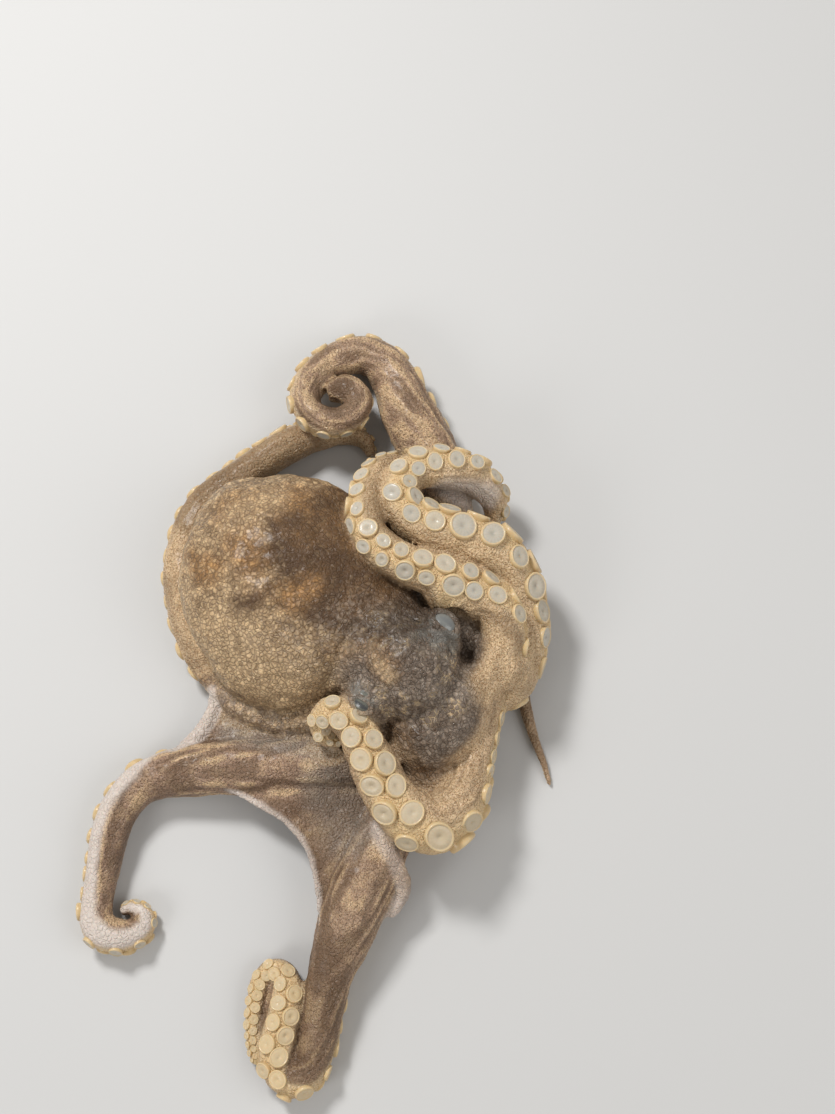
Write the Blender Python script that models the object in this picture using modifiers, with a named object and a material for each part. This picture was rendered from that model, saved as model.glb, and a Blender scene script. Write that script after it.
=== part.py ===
"""A small common octopus lying limp on a floor, as a still life-size model.

Units are metres, with +Z up. The origin is on the floor under the middle of the animal's box. The
dimensions below are in millimetres and become metres where a mesh is made. The animal lies back
up, with its head pointing to +X and -Y, so its left arms are on the +X side.

The arms' free lengths are tapered tubes along routes, with the larger suckers joined on. The
mantle, the head and the crown of arms with its web are each grown from overlapping lobes. Every
solid is then hollowed where a neighbour presses into it, so that all of them meet at a fine gap.
"""
import math

import bmesh
import bpy
import numpy as np
from mathutils import Matrix, Vector

MM = 0.001
GAP = 0.35              # left between two solids that meet
LEAST_SHARE = {"DIFFERENCE": 0.6, "UNION": 0.999}    # of the volume, in a sound result
SHELL_MOST = 1.5
GAP_SHARES = (1.0, 0.7, 0.4, 0.1)    # tried in turn until nothing is shared
SHARED_MOST = 0.001    # cubic mm
SOLE = 0.45             # what lies lower than this is pressed flat on the floor
NAME = "octopus"
WELDS = (0.00008, 0.00004, 0.00002, 0.00001, 0.000003, 0.0)    # metres, the first that closes a mesh

# Each stop of an arm's route is x, y and height of its centre, its half width, and the roll of its
# sucker side in degrees: 0 looks down, 90 to the right of the route, 180 up.
ARM_ROUTES = {
    "arm_r1": (
        (31.5, -7.5, 10.0, 6.0, -20), (38.5, -2.5, 13.0, 5.6, -50), (42.0, -3.5, 14.0, 5.0, -65),
        (41.5, -9.5, 14.0, 4.5, -70), (39.0, -19.0, 14.0, 5.0, -80), (36.0, -28.5, 15.5, 6.6, -95),
        (29.0, -34.5, 17.0, 7.6, -125), (21.5, -31.0, 19.5, 6.9, -160),
        (16.5, -24.5, 20.5, 6.3, -178), (12.5, -16.5, 22.0, 5.8, -182), (9.0, -10.0, 23.0, 5.2, -182),
        (4.0, -7.0, 22.5, 4.4, -184), (1.0, -9.0, 20.0, 3.5, -186), (2.0, -12.5, 17.8, 2.7, -180),
        (6.0, -14.0, 17.0, 1.4, -170)),
    "arm_r2": (
        (25.5, -16.0, 7.5, 6.5, 0), (20.0, -27.0, 6.6, 6.6, 5), (15.0, -39.5, 7.8, 7.8, 5),
        (10.5, -50.0, 8.3, 8.3, 0), (7.0, -59.5, 7.5, 7.5, -10), (4.0, -68.0, 6.4, 6.4, -20),
        (2.0, -76.5, 5.4, 5.4, -30), (0.8, -85.5, 4.8, 4.8, -45), (-1.5, -93.0, 4.6, 4.6, -75),
        (-6.2, -95.6, 4.6, 4.6, -118), (-9.6, -92.0, 4.6, 4.6, -155), (-9.2, -84.5, 4.6, 4.6, -178),
        (-7.6, -77.0, 4.5, 4.4, -182), (-8.0, -71.5, 3.9, 3.7, -186), (-11.4, -69.3, 3.1, 2.9, -192),
        (-14.5, -72.5, 2.8, 2.6, -200), (-15.6, -79.5, 2.7, 2.5, -205), (-15.8, -87.0, 2.3, 2.0, -205),
        (-14.8, -92.0, 1.6, 1.2, -200)),
    "arm_r3": (
        (22.0, -16.0, 8.0, 7.0, 10), (7.5, -17.5, 8.0, 7.4, 10), (-5.0, -18.0, 7.6, 7.5, 10),
        (-18.0, -18.8, 7.3, 7.2, 12), (-29.5, -19.3, 6.9, 6.8, 18), (-39.0, -20.5, 6.2, 6.1, 30),
        (-46.5, -23.5, 5.7, 5.5, 42), (-51.5, -29.5, 5.3, 5.1, 50), (-54.0, -37.0, 5.0, 4.8, 52),
        (-55.0, -44.0, 4.6, 4.4, 55), (-56.0, -51.0, 4.4, 4.2, 65), (-56.3, -57.0, 4.5, 4.4, 75),
        (-53.5, -60.5, 4.6, 4.6, 84), (-48.5, -61.0, 4.2, 4.2, 88), (-44.5, -59.0, 3.5, 3.4, 90),
        (-44.2, -55.6, 2.9, 2.5, 90), (-47.5, -54.0, 2.6, 2.0, 90), (-50.5, -55.0, 2.4, 1.2, 90)),
    "arm_r4": (
        (22.0, -10.5, 8.0, 6.3, 0), (7.5, -8.0, 6.6, 5.8, -5), (-8.0, -4.5, 6.0, 5.4, -15),
        (-20.0, 0.5, 5.8, 5.3, -30), (-29.0, 8.5, 5.8, 5.5, -40), (-34.2, 19.0, 5.9, 5.7, -45),
        (-37.0, 31.0, 5.7, 5.5, -48), (-36.0, 42.0, 5.5, 5.3, -50), (-32.0, 51.5, 5.3, 5.1, -55),
        (-24.5, 58.0, 5.1, 4.9, -60), (-17.0, 64.0, 5.1, 4.9, -75), (-11.0, 68.0, 5.2, 5.1, -80),
        (-4.5, 71.0, 4.8, 4.6, -75), (2.5, 72.5, 3.7, 3.5, -65), (8.0, 72.0, 3.1, 2.9, -60),
        (11.0, 70.0, 2.5, 2.3, -60), (12.5, 66.5, 1.7, 1.4, -60)),
    "arm_l1": (
        (34.5, -3.5, 6.0, 5.0, 0), (41.0, 4.0, 4.4, 4.2, 0), (44.5, 13.5, 3.6, 3.5, 0),
        (47.0, 23.0, 3.1, 3.0, 0), (50.5, 27.0, 2.8, 2.7, 0), (53.5, 23.0, 2.6, 2.5, 0),
        (54.0, 14.0, 2.3, 2.2, 0), (52.5, 4.5, 2.0, 1.9, 0), (53.5, -3.0, 1.7, 1.6, 0),
        (55.5, -10.5, 1.5, 1.3, 0), (58.0, -17.5, 1.2, 1.0, 0), (59.5, -23.0, 0.9, 0.6, 0)),
    "arm_l2": (
        (34.0, -5.5, 12.0, 6.0, 0), (43.0, -1.0, 12.0, 6.2, 20), (49.5, 3.5, 12.0, 6.3, 50),
        (52.0, 12.0, 12.5, 6.5, 80), (52.0, 21.0, 14.0, 6.7, 105), (50.0, 28.5, 17.0, 6.9, 122),
        (44.5, 35.0, 20.5, 7.2, 133), (36.5, 38.0, 22.5, 7.0, 140), (28.0, 40.5, 23.5, 6.4, 148),
        (22.5, 44.0, 24.5, 5.8, 160), (20.0, 49.0, 25.0, 5.3, 172), (22.0, 54.0, 24.0, 4.9, 185),
        (26.5, 56.6, 22.5, 5.2, 202), (33.0, 57.2, 20.5, 5.5, 218), (39.0, 56.5, 17.5, 5.3, 235),
        (43.0, 54.0, 14.0, 4.7, 252), (45.5, 51.0, 10.5, 3.9, 265), (45.2, 47.5, 7.5, 2.8, 270),
        (43.5, 46.5, 5.0, 1.3, 270)),
    "arm_l3": (
        (33.5, -2.5, 14.0, 5.8, 0), (40.5, 1.0, 17.0, 5.8, 10), (45.5, 7.0, 19.0, 5.9, 40),
        (47.0, 14.0, 20.5, 6.0, 85), (44.5, 20.5, 22.0, 6.0, 130), (38.0, 24.5, 24.0, 5.8, 168),
        (31.0, 27.0, 26.0, 5.6, 180), (24.5, 29.0, 27.0, 5.3, 184), (18.5, 32.0, 28.0, 5.0, 190),
        (13.5, 36.5, 28.0, 4.8, 205), (11.5, 43.5, 26.5, 4.7, 232), (12.5, 50.5, 23.5, 4.5, 248),
        (15.0, 56.5, 19.5, 4.1, 258), (18.5, 60.0, 16.0, 3.0, 262), (21.0, 60.5, 14.0, 1.7, 265)),
    "arm_l4": (
        (29.5, -2.0, 9.0, 6.5, 0), (33.0, 10.5, 7.6, 6.8, 0), (35.0, 22.5, 7.2, 7.0, 0),
        (34.5, 36.0, 7.2, 7.0, 0), (33.0, 49.5, 7.3, 7.1, 10), (30.0, 59.5, 7.6, 7.4, 20),
        (27.0, 68.0, 7.9, 7.8, 35), (22.5, 77.0, 7.9, 7.6, 45), (20.0, 84.0, 7.3, 6.8, 55),
        (16.5, 90.5, 6.8, 6.0, 65), (10.0, 94.0, 6.8, 5.4, 72), (2.5, 92.3, 7.2, 5.1, 75),
        (-3.2, 87.0, 8.4, 4.9, 80), (-5.6, 80.0, 10.2, 4.6, 82), (-3.0, 74.5, 12.0, 4.3, 75),
        (2.5, 72.5, 12.5, 4.1, 62), (7.8, 75.0, 11.8, 4.0, 45), (9.0, 79.5, 10.8, 4.0, 25),
        (5.5, 82.5, 10.4, 4.0, 10), (0.8, 82.0, 9.8, 2.8, 0)),
}

# How much of each arm, from the mouth, belongs to the crown, and where the rest is parted.
ARM_ROOTS = {"arm_r1": 20.0, "arm_r2": 20.0, "arm_r3": 26.0, "arm_r4": 26.0,
             "arm_l1": 14.0, "arm_l2": 33.0, "arm_l3": 30.0, "arm_l4": 24.0}
LENGTH_NAMES = ("base", "middle", "tip")
LENGTH_SHARES = (0.0, 0.28, 0.66, 1.0)
LENGTH_GAP = 0.42
TUBE_STEP = 1.3         # spacing of a tube's rings, in half widths
TUBE_STEP_LEAST = 3.3
CAP_RING = 0.3

# Suckers sit in two rows, staggered, at either side of the middle of the arm's inner face.
SUCKER_SIZE = 0.46      # radius, in the arm's half widths
SUCKER_PITCH = 2.4      # spacing along a row, in sucker radii
SUCKER_SPREAD = 27.0    # degrees from the middle of the inner face
SUCKER_RISE = 0.36      # height above the arm, in sucker radii
SUCKER_SINK = 0.9
SUCKER_LEAST_ARM = 4.6
SUCKER_SIDES = 6

# Lobes: centre, half length along the body, half width across it, half height.
BODY_YAW = -37.0        # degrees from +X to the way the head points
MANTLE_YAW = -50.0
MANTLE_LOBES = (
    ((-7.5, 27.0, 15.3), (30.5, 28.0, 17.5)),
    ((11.0, 14.5, 15.0), (17.0, 19.0, 13.0)),
    ((-17.0, 39.0, 14.0), (17.0, 17.5, 13.5)),
    ((-8.0, 16.0, 13.5), (21.5, 22.0, 14.0)),
)
# Loose skin along the mantle's lower edge.
MARGIN = ((-28.0, 2.0, 7.5), (-20.5, -3.5, 8.5), (-12.0, -6.5, 9.0), (-4.5, -10.0, 9.0))
MARGIN_RADIUS = 3.4
HEAD_LOBES = (
    ((15.5, 10.0, 17.0), (13.0, 16.0, 13.0)),
    ((22.5, 4.5, 19.5), (14.5, 13.5, 14.5)),
    ((29.0, 12.0, 23.5), (7.5, 6.5, 7.0)),
    ((14.0, -2.5, 21.5), (7.5, 6.5, 7.0)),
)
CROWN_LOBES = (
    ((31.0, -6.0, 14.0), (13.0, 17.0, 12.5)),
    ((29.0, -17.0, 9.5), (13.0, 13.5, 8.5)),
    ((46.0, 6.0, 14.0), (9.5, 7.5, 11.0)),
    ((36.0, 11.5, 9.0), (9.0, 8.0, 8.5)),
)
LOBE_VOXEL = 1.5
BODY_FACES = {"mantle": 560, "head": 360, "crown_web": 900}

# A web is a sheet between two arms: how far it reaches along each, how its free edge and its middle
# hang back, how high it sits on the arms (in half widths) and how thick its free edge is.
WEBS = (
    ("arm_r3", "arm_r2", 56.0, 61.0, 0.30, 1.0, 0.50, 1.3),
    ("arm_r4", "arm_r3", 52.0, 68.0, 0.10, 0.5, 0.35, 1.7),
    ("arm_r2", "arm_r1", 30.0, 44.0, 0.10, 4.0, 0.0, 1.3),
)
WEB_THICKNESS = 3.2
WEB_EDGE = ((14.5, -34.0, 16.0), (17.5, -39.5, 15.0), (20.3, -45.0, 12.5), (21.8, -50.0, 9.0),
            (20.5, -54.5, 6.0))
WEB_EDGE_RADIUS = 2.2

EYE_RADIUS = 4.3
EYES = {"eye_left": (30.8, 13.6, 26.2), "eye_right": (11.8, -4.4, 24.2)}
SIPHON_START = (5.0, -5.5, 13.5)
SIPHON_END = (-9.0, -8.5, 11.5)
SIPHON_RADII = (4.6, 3.0)
SIPHON_BORE = 1.9
SIPHON_DEPTH = 4.0

SKIN_COLOUR = (0.20, 0.13, 0.08, 1.0)
ARM_COLOUR = (0.36, 0.25, 0.16, 1.0)
HEAD_COLOUR = (0.13, 0.10, 0.08, 1.0)
WEB_COLOUR = (0.26, 0.18, 0.13, 1.0)
EYE_COLOUR = (0.10, 0.11, 0.12, 1.0)
SIPHON_COLOUR = (0.45, 0.36, 0.27, 1.0)


# ---------------------------------------------------------------- scene and mesh helpers

def clear_scene():
    for obj in list(bpy.data.objects):
        bpy.data.objects.remove(obj)


def make_collection(name):
    collection = bpy.data.collections.new(name)
    bpy.context.scene.collection.children.link(collection)
    return collection


def make_material(name, colour, roughness):
    material = bpy.data.materials.new(name)
    material.use_nodes = True
    shader = material.node_tree.nodes["Principled BSDF"]
    shader.inputs["Base Color"].default_value = colour
    shader.inputs["Roughness"].default_value = roughness
    shader.inputs["Metallic"].default_value = 0.0
    material.diffuse_color = colour
    return material


def add_object(name, mesh, collection):
    obj = bpy.data.objects.new(name, mesh)
    collection.objects.link(obj)
    return obj


def mesh_from_bmesh(name, bm):
    mesh = bpy.data.meshes.new(name)
    bm.to_mesh(mesh)
    bm.free()
    return mesh


def welded(mesh, merge):
    bm = bmesh.new()
    bm.from_mesh(mesh)
    if merge > 0.0:
        bmesh.ops.remove_doubles(bm, verts=bm.verts, dist=merge)
        bmesh.ops.dissolve_degenerate(bm, edges=bm.edges, dist=merge)
    return bm


def closed_result(obj):
    """The mesh that an object's curve or modifiers make, or None where it would not close."""
    bpy.context.view_layer.update()
    graph = bpy.context.evaluated_depsgraph_get()
    mesh = bpy.data.meshes.new_from_object(obj.evaluated_get(graph))
    for merge in WELDS:
        bm = welded(mesh, merge)
        closed = len(bm.faces) > 0 and all(edge.is_manifold for edge in bm.edges)
        if closed:
            bm.to_mesh(mesh)
        bm.free()
        if closed:
            return mesh
    return None


def settle(obj):
    """Replace an object's curve or modifiers by the plain closed mesh that they make."""
    mesh = closed_result(obj)
    if mesh is None:
        raise ValueError(f"{obj.name} does not close")
    name = obj.name
    collection = obj.users_collection[0]
    bpy.data.objects.remove(obj)
    return add_object(name, mesh, collection)


def keep_largest_body(obj):
    """Drop the crumbs that a cut leaves beside the main body."""
    bm = bmesh.new()
    bm.from_mesh(obj.data)
    waiting = set(bm.faces)
    bodies = []
    while waiting:
        stack = [waiting.pop()]
        body = list(stack)
        while stack:
            for edge in stack.pop().edges:
                for face in edge.link_faces:
                    if face in waiting:
                        waiting.discard(face)
                        body.append(face)
                        stack.append(face)
        bodies.append(body)
    bodies.sort(key=len)
    for body in bodies[:-1]:
        bmesh.ops.delete(bm, geom=body, context="FACES")
    bm.to_mesh(obj.data)
    bm.free()


def bounds(obj):
    points = np.array([vert.co for vert in obj.data.vertices])
    return points.min(axis=0), points.max(axis=0)


def boxes_touch(one, other, margin):
    low_one, high_one = bounds(one)
    low_other, high_other = bounds(other)
    return bool(np.all(low_one - margin < high_other) and np.all(low_other - margin < high_one))


def swollen_copy(obj, distance, cutters):
    """A copy of a solid, a little larger all round."""
    bm = bmesh.new()
    bm.from_mesh(obj.data)
    bm.normal_update()
    for vert in bm.verts:
        vert.co += vert.normal * min(vert.calc_shell_factor(), SHELL_MOST) * distance * MM
    cutter = add_object("cutter_" + obj.name, mesh_from_bmesh("cutter", bm), cutters)
    cutter.hide_render = True
    cutter.display_type = "WIRE"
    return cutter


def volume(mesh):
    bm = bmesh.new()
    bm.from_mesh(mesh)
    size = bm.calc_volume(signed=True)
    bm.free()
    return size


def combine(obj, operation, tool):
    """Cut or join a closed tool, keeping the largest body, and remove the tool."""
    least = volume(obj.data) * LEAST_SHARE[operation]
    step = obj.modifiers.new("combine", "BOOLEAN")
    step.operation = operation
    step.object = tool
    for solver, crossing in (("EXACT", False), ("EXACT", True), ("MANIFOLD", False)):
        step.solver = solver
        if solver == "EXACT":
            step.use_self = crossing
        mesh = closed_result(obj)
        if mesh is not None and volume(mesh) > least:
            break
    else:
        raise ValueError(f"{tool.name} can not be combined with {obj.name}")
    obj.modifiers.remove(step)
    obj.data = mesh
    bpy.data.objects.remove(tool)
    keep_largest_body(obj)


def shared_volume(obj, other):
    probe = obj.modifiers.new("probe", "BOOLEAN")
    probe.operation = "INTERSECT"
    probe.solver = "MANIFOLD"
    probe.object = other
    bpy.context.view_layer.update()
    graph = bpy.context.evaluated_depsgraph_get()
    shared = volume(bpy.data.meshes.new_from_object(obj.evaluated_get(graph)))
    obj.modifiers.remove(probe)
    return shared


def carve(obj, neighbours, cutters):
    """Hollow a solid wherever a neighbour presses into it, leaving the gap."""
    for other in neighbours:
        if not boxes_touch(obj, other, 2.0 * GAP * MM):
            continue
        for share in GAP_SHARES:
            combine(obj, "DIFFERENCE", swollen_copy(other, share * GAP, cutters))
            if shared_volume(obj, other) < SHARED_MOST * MM ** 3:
                break
    return obj


def press_on_floor(obj):
    """Flatten what lies lowest, so that the animal rests on small flats at one level."""
    for vert in obj.data.vertices:
        if vert.co.z < SOLE * MM:
            vert.co.z = 0.0


# ---------------------------------------------------------------- arms

def smooth_route(stops, per_leg=10):
    """Points on a smooth curve through the stops, with the arc length at each."""
    stops = np.array(stops, dtype=float)
    points = []
    for leg in range(len(stops) - 1):
        before = stops[max(leg - 1, 0)]
        start = stops[leg]
        end = stops[leg + 1]
        after = stops[min(leg + 2, len(stops) - 1)]
        for step in range(per_leg):
            t = step / per_leg
            points.append(0.5 * (2.0 * start + (end - before) * t
                                 + (2.0 * before - 5.0 * start + 4.0 * end - after) * t * t
                                 + (3.0 * start - before - 3.0 * end + after) * t ** 3))
    points.append(stops[-1])
    points = np.array(points)
    legs = np.linalg.norm(np.diff(points[:, :3], axis=0), axis=1)
    return points, np.concatenate(([0.0], np.cumsum(legs)))


class Route:
    """An arm's route: the stop values at any distance from the mouth."""

    def __init__(self, stops):
        self.points, self.arc = smooth_route(stops)
        self.length = self.arc[-1]

    def at(self, distance):
        return np.array([np.interp(distance, self.arc, self.points[:, axis]) for axis in range(5)])

    def heading(self, distance):
        ahead = self.at(min(distance + 0.6, self.length))[:3]
        behind = self.at(max(distance - 0.6, 0.0))[:3]
        return Vector(ahead - behind).normalized()

    def outward(self, distance, offset):
        """The way the sucker side faces, turned by offset degrees round the arm."""
        along = self.heading(distance)
        right = along.cross(Vector((0.0, 0.0, 1.0))).normalized()
        up = right.cross(along)
        roll = math.radians(self.at(distance)[4] + offset)
        return right * math.sin(roll) - up * math.cos(roll)


def ring_distances(route, start, end):
    """Where a tube's rings stand: close pairs at both ends keep its caps square to the route."""
    end -= CAP_RING
    distances = [start, start + CAP_RING]
    while True:
        step = max(TUBE_STEP * route.at(distances[-1])[3], TUBE_STEP_LEAST)
        if distances[-1] + 1.4 * step > end:
            break
        distances.append(distances[-1] + step)
    return distances + [end, end + CAP_RING]


def make_tube(name, points, radii, collection, sides=2):
    """A tapered tube with filled caps, as a plain mesh."""
    curve = bpy.data.curves.new(name, "CURVE")
    curve.dimensions = "3D"
    curve.bevel_depth = MM
    curve.bevel_resolution = sides
    curve.use_fill_caps = True
    spline = curve.splines.new("POLY")
    spline.points.add(len(points) - 1)
    for point, place, radius in zip(spline.points, points, radii):
        point.co = (*(Vector(place) * MM), 1.0)
        point.radius = radius
    return settle(add_object(name, curve, collection))


def arm_tube(name, route, start, end, collection):
    distances = ring_distances(route, start, end)
    stations = [route.at(distance) for distance in distances]
    return make_tube(name, [s[:3] for s in stations], [s[3] for s in stations], collection)


def is_buried(place):
    """Whether a place lies within the mantle or the head."""
    for lobes, yaw in ((MANTLE_LOBES, MANTLE_YAW), (HEAD_LOBES, BODY_YAW), (CROWN_LOBES, BODY_YAW)):
        turn = Matrix.Rotation(math.radians(-yaw), 3, "Z")
        for centre, halves in lobes:
            offset = turn @ (place - Vector(centre))
            if sum((offset[axis] / halves[axis]) ** 2 for axis in range(3)) < 1.0:
                return True
    return False


def sucker_places(route):
    """Distance from the mouth, side and radius of each sucker of an arm, mouth to tip."""
    distance = 6.0
    side = 1
    while distance < route.length - 1.0:
        radius = SUCKER_SIZE * route.at(distance)[3]
        yield distance, side, radius
        distance += SUCKER_PITCH * radius / 2.0
        side = -side


def add_suckers(arm, route, start, end, cutters):
    """Join the larger suckers that the floor does not hide to one length of an arm."""
    bm = bmesh.new()
    for distance, side, radius in sucker_places(route):
        place = route.at(distance)
        if not start + radius < distance < end - radius or place[3] < SUCKER_LEAST_ARM:
            continue
        out = route.outward(distance, side * SUCKER_SPREAD)
        centre = Vector(place[:3]) + out * place[3]
        if out.z < -0.35 or centre.z - radius < SOLE or is_buried(centre):
            continue
        depth = (SUCKER_RISE + SUCKER_SINK) * radius
        middle = centre + out * (SUCKER_RISE * radius - depth / 2.0)
        turn = Vector((0.0, 0.0, 1.0)).rotation_difference(out).to_matrix().to_4x4()
        bmesh.ops.create_cone(bm, cap_ends=True, segments=SUCKER_SIDES, radius1=0.8 * radius * MM,
                              radius2=radius * MM, depth=depth * MM,
                              matrix=Matrix.Translation(middle * MM) @ turn)
    if not bm.verts:
        bm.free()
        return
    suckers = add_object("cutter_suckers", mesh_from_bmesh("suckers", bm), cutters)
    suckers.hide_render = True
    suckers.display_type = "WIRE"
    combine(arm, "UNION", suckers)


def build_arm(name, route, collection, cutters):
    """The free part of one arm, in three lengths."""
    lengths = []
    root = ARM_ROOTS[name]
    free = route.length - root
    for index, part in enumerate(LENGTH_NAMES):
        start = root + LENGTH_SHARES[index] * free
        end = root + LENGTH_SHARES[index + 1] * free
        if index > 0:
            start += LENGTH_GAP / 2.0
        if index < len(LENGTH_NAMES) - 1:
            end -= LENGTH_GAP / 2.0
        arm = arm_tube(f"{name}_{part}", route, start, end, collection)
        press_on_floor(arm)
        add_suckers(arm, route, start, end, cutters)
        lengths.append(arm)
    return lengths


# ---------------------------------------------------------------- mantle, head and crown

def add_lobe(bm, centre, halves, yaw):
    turn = Matrix.Rotation(math.radians(yaw), 4, "Z")
    scale = Matrix.Diagonal((*(Vector(halves) * MM), 1.0))
    bmesh.ops.create_icosphere(bm, subdivisions=3, radius=1.0,
                               matrix=Matrix.Translation(Vector(centre) * MM) @ turn @ scale)


def add_mesh(bm, obj):
    bm.from_mesh(obj.data)
    bpy.data.objects.remove(obj)


def add_web(bm, routes, web, cutters):
    """A sheet between two arms, with its free edge and its middle hanging back."""
    first, second, reach_first, reach_second, edge_sag, drop, lift, rim = web
    along, across = 12, 10
    sheet = bmesh.new()
    rows = []
    for i in range(along + 1):
        row = []
        for j in range(across + 1):
            share = j / across
            bow = 4.0 * share * (1.0 - share)
            far = i / along * (1.0 - edge_sag * bow)
            place = ((1.0 - share) * routes[first].at(far * reach_first)
                     + share * routes[second].at(far * reach_second))
            place[2] = max(place[2] + lift * place[3] - drop * bow * far, 0.4 * WEB_THICKNESS)
            row.append(sheet.verts.new(Vector(place[:3]) * MM))
        rows.append(row)
    for i in range(along):
        for j in range(across):
            sheet.faces.new((rows[i][j], rows[i + 1][j], rows[i + 1][j + 1], rows[i][j + 1]))
    edge = [np.array(vert.co) / MM for vert in rows[-1]]
    obj = add_object("cutter_web", mesh_from_bmesh("web", sheet), cutters)
    thicken = obj.modifiers.new("thickness", "SOLIDIFY")
    thicken.thickness = WEB_THICKNESS * MM
    thicken.offset = 0.0
    add_mesh(bm, settle(obj))
    add_mesh(bm, make_tube("rim", edge, [rim] * len(edge), cutters))


def grow(name, bm, faces, collection):
    """Merge overlapping shells into one smooth closed body with about the given faces."""
    obj = add_object(name, mesh_from_bmesh(name, bm), collection)
    merge = obj.modifiers.new("merge", "REMESH")
    merge.mode = "VOXEL"
    merge.voxel_size = LOBE_VOXEL * MM
    smooth = obj.modifiers.new("smooth", "SMOOTH")
    smooth.factor = 0.5
    smooth.iterations = 6
    obj = settle(obj)
    triangles = sum(len(face.vertices) - 2 for face in obj.data.polygons)
    thin = obj.modifiers.new("thin", "DECIMATE")
    thin.ratio = min(1.0, faces / triangles)
    obj = settle(obj)
    keep_largest_body(obj)
    return cut_at_floor(obj)


def cut_at_floor(obj):
    bm = bmesh.new()
    bm.from_mesh(obj.data)
    whole = list(bm.verts) + list(bm.edges) + list(bm.faces)
    bmesh.ops.bisect_plane(bm, geom=whole, dist=0.00001, plane_co=(0.0, 0.0, 0.0),
                           plane_no=(0.0, 0.0, 1.0), clear_inner=True)
    rim = [edge for edge in bm.edges if edge.is_boundary]
    if rim:
        bmesh.ops.holes_fill(bm, edges=rim, sides=0)
    bmesh.ops.triangulate(bm, faces=bm.faces)
    bmesh.ops.recalc_face_normals(bm, faces=bm.faces)
    bm.to_mesh(obj.data)
    bm.free()
    return obj


def build_mantle(collection, cutters):
    bm = bmesh.new()
    margin, _ = smooth_route([(*place, 0.0, 0.0) for place in MARGIN], per_leg=3)
    add_mesh(bm, make_tube("margin", margin[:, :3], [MARGIN_RADIUS] * len(margin), cutters))
    for centre, halves in MANTLE_LOBES:
        add_lobe(bm, centre, halves, MANTLE_YAW)
    return grow("mantle", bm, BODY_FACES["mantle"], collection)


def build_head(collection):
    bm = bmesh.new()
    for centre, halves in HEAD_LOBES:
        add_lobe(bm, centre, halves, BODY_YAW)
    return grow("head", bm, BODY_FACES["head"], collection)


def build_crown(routes, collection, cutters):
    """The crown round the mouth, with the roots of the arms and the web between them."""
    bm = bmesh.new()
    for centre, halves in CROWN_LOBES:
        add_lobe(bm, centre, halves, BODY_YAW)
    for name, route in routes.items():
        add_mesh(bm, arm_tube("root", route, 0.0, ARM_ROOTS[name] + 1.0, cutters))
    for web in WEBS:
        add_web(bm, routes, web, cutters)
    edge, _ = smooth_route([(*place, 0.0, 0.0) for place in WEB_EDGE], per_leg=3)
    add_mesh(bm, make_tube("edge", edge[:, :3], [WEB_EDGE_RADIUS] * len(edge), cutters))
    return grow("crown_web", bm, BODY_FACES["crown_web"], collection)


def build_eye(name, centre, collection):
    bm = bmesh.new()
    bmesh.ops.create_icosphere(bm, subdivisions=2, radius=EYE_RADIUS * MM,
                               matrix=Matrix.Translation(Vector(centre) * MM))
    return add_object(name, mesh_from_bmesh(name, bm), collection)


def build_siphon(collection):
    """The funnel: a short tapered spout with an open mouth."""
    axis = Vector(SIPHON_END) - Vector(SIPHON_START)
    length = axis.length
    wide, narrow = SIPHON_RADII
    profile = ((0.0, 0.0), (0.85 * wide, 0.0), (wide, 0.15 * length), (narrow, 0.8 * length),
               (1.08 * narrow, length), (SIPHON_BORE, length), (SIPHON_BORE, length - SIPHON_DEPTH),
               (0.0, length - SIPHON_DEPTH))
    bm = bmesh.new()
    verts = [bm.verts.new((radius * MM, 0.0, height * MM)) for radius, height in profile]
    for start, end in zip(verts, verts[1:]):
        bm.edges.new((start, end))
    bmesh.ops.spin(bm, geom=list(bm.verts) + list(bm.edges), cent=(0.0, 0.0, 0.0),
                   axis=(0.0, 0.0, 1.0), angle=2.0 * math.pi, steps=10, use_merge=True)
    bmesh.ops.remove_doubles(bm, verts=bm.verts, dist=0.00001)
    turn = Vector((0.0, 0.0, 1.0)).rotation_difference(axis).to_matrix().to_4x4()
    bmesh.ops.transform(bm, matrix=Matrix.Translation(Vector(SIPHON_START) * MM) @ turn,
                        verts=bm.verts)
    bmesh.ops.recalc_face_normals(bm, faces=bm.faces)
    return add_object("siphon", mesh_from_bmesh("siphon", bm), collection)


# ---------------------------------------------------------------- the whole animal

def paint(objects):
    materials = {
        "mantle": make_material("mantle_skin", SKIN_COLOUR, 0.35),
        "head": make_material("head_skin", HEAD_COLOUR, 0.35),
        "crown_web": make_material("web_skin", WEB_COLOUR, 0.35),
        "siphon": make_material("siphon_skin", SIPHON_COLOUR, 0.35),
        "eye": make_material("eye", EYE_COLOUR, 0.08),
        "arm": make_material("arm_skin", ARM_COLOUR, 0.35),
    }
    for obj in objects:
        key = obj.name if obj.name in materials else obj.name.split("_")[0]
        obj.data.materials.clear()
        obj.data.materials.append(materials[key])


def main():
    clear_scene()
    parts = make_collection(NAME)
    cutters = make_collection("cutters")
    routes = {name: Route(stops) for name, stops in ARM_ROUTES.items()}

    done = [build_eye(name, centre, parts) for name, centre in EYES.items()]
    for name, route in routes.items():
        for arm in build_arm(name, route, parts, cutters):
            done.append(carve(arm, done, cutters))
    done.append(carve(build_siphon(parts), done, cutters))
    done.append(carve(build_crown(routes, parts, cutters), done, cutters))
    done.append(carve(build_head(parts), done, cutters))
    done.append(carve(build_mantle(parts, cutters), done, cutters))
    paint(done)


main()
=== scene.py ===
"""Skin, suckers, eyes and stage of a small octopus that lies limp, back up, on a pale floor.

Sizes are in metres once a mesh is made. Routes, lobes and webs are in millimetres, in the frame's
own axes: +Z up, the origin on the floor under the middle of the animal, its head towards +X and -Y.
"""
import itertools
import math
import random

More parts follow.
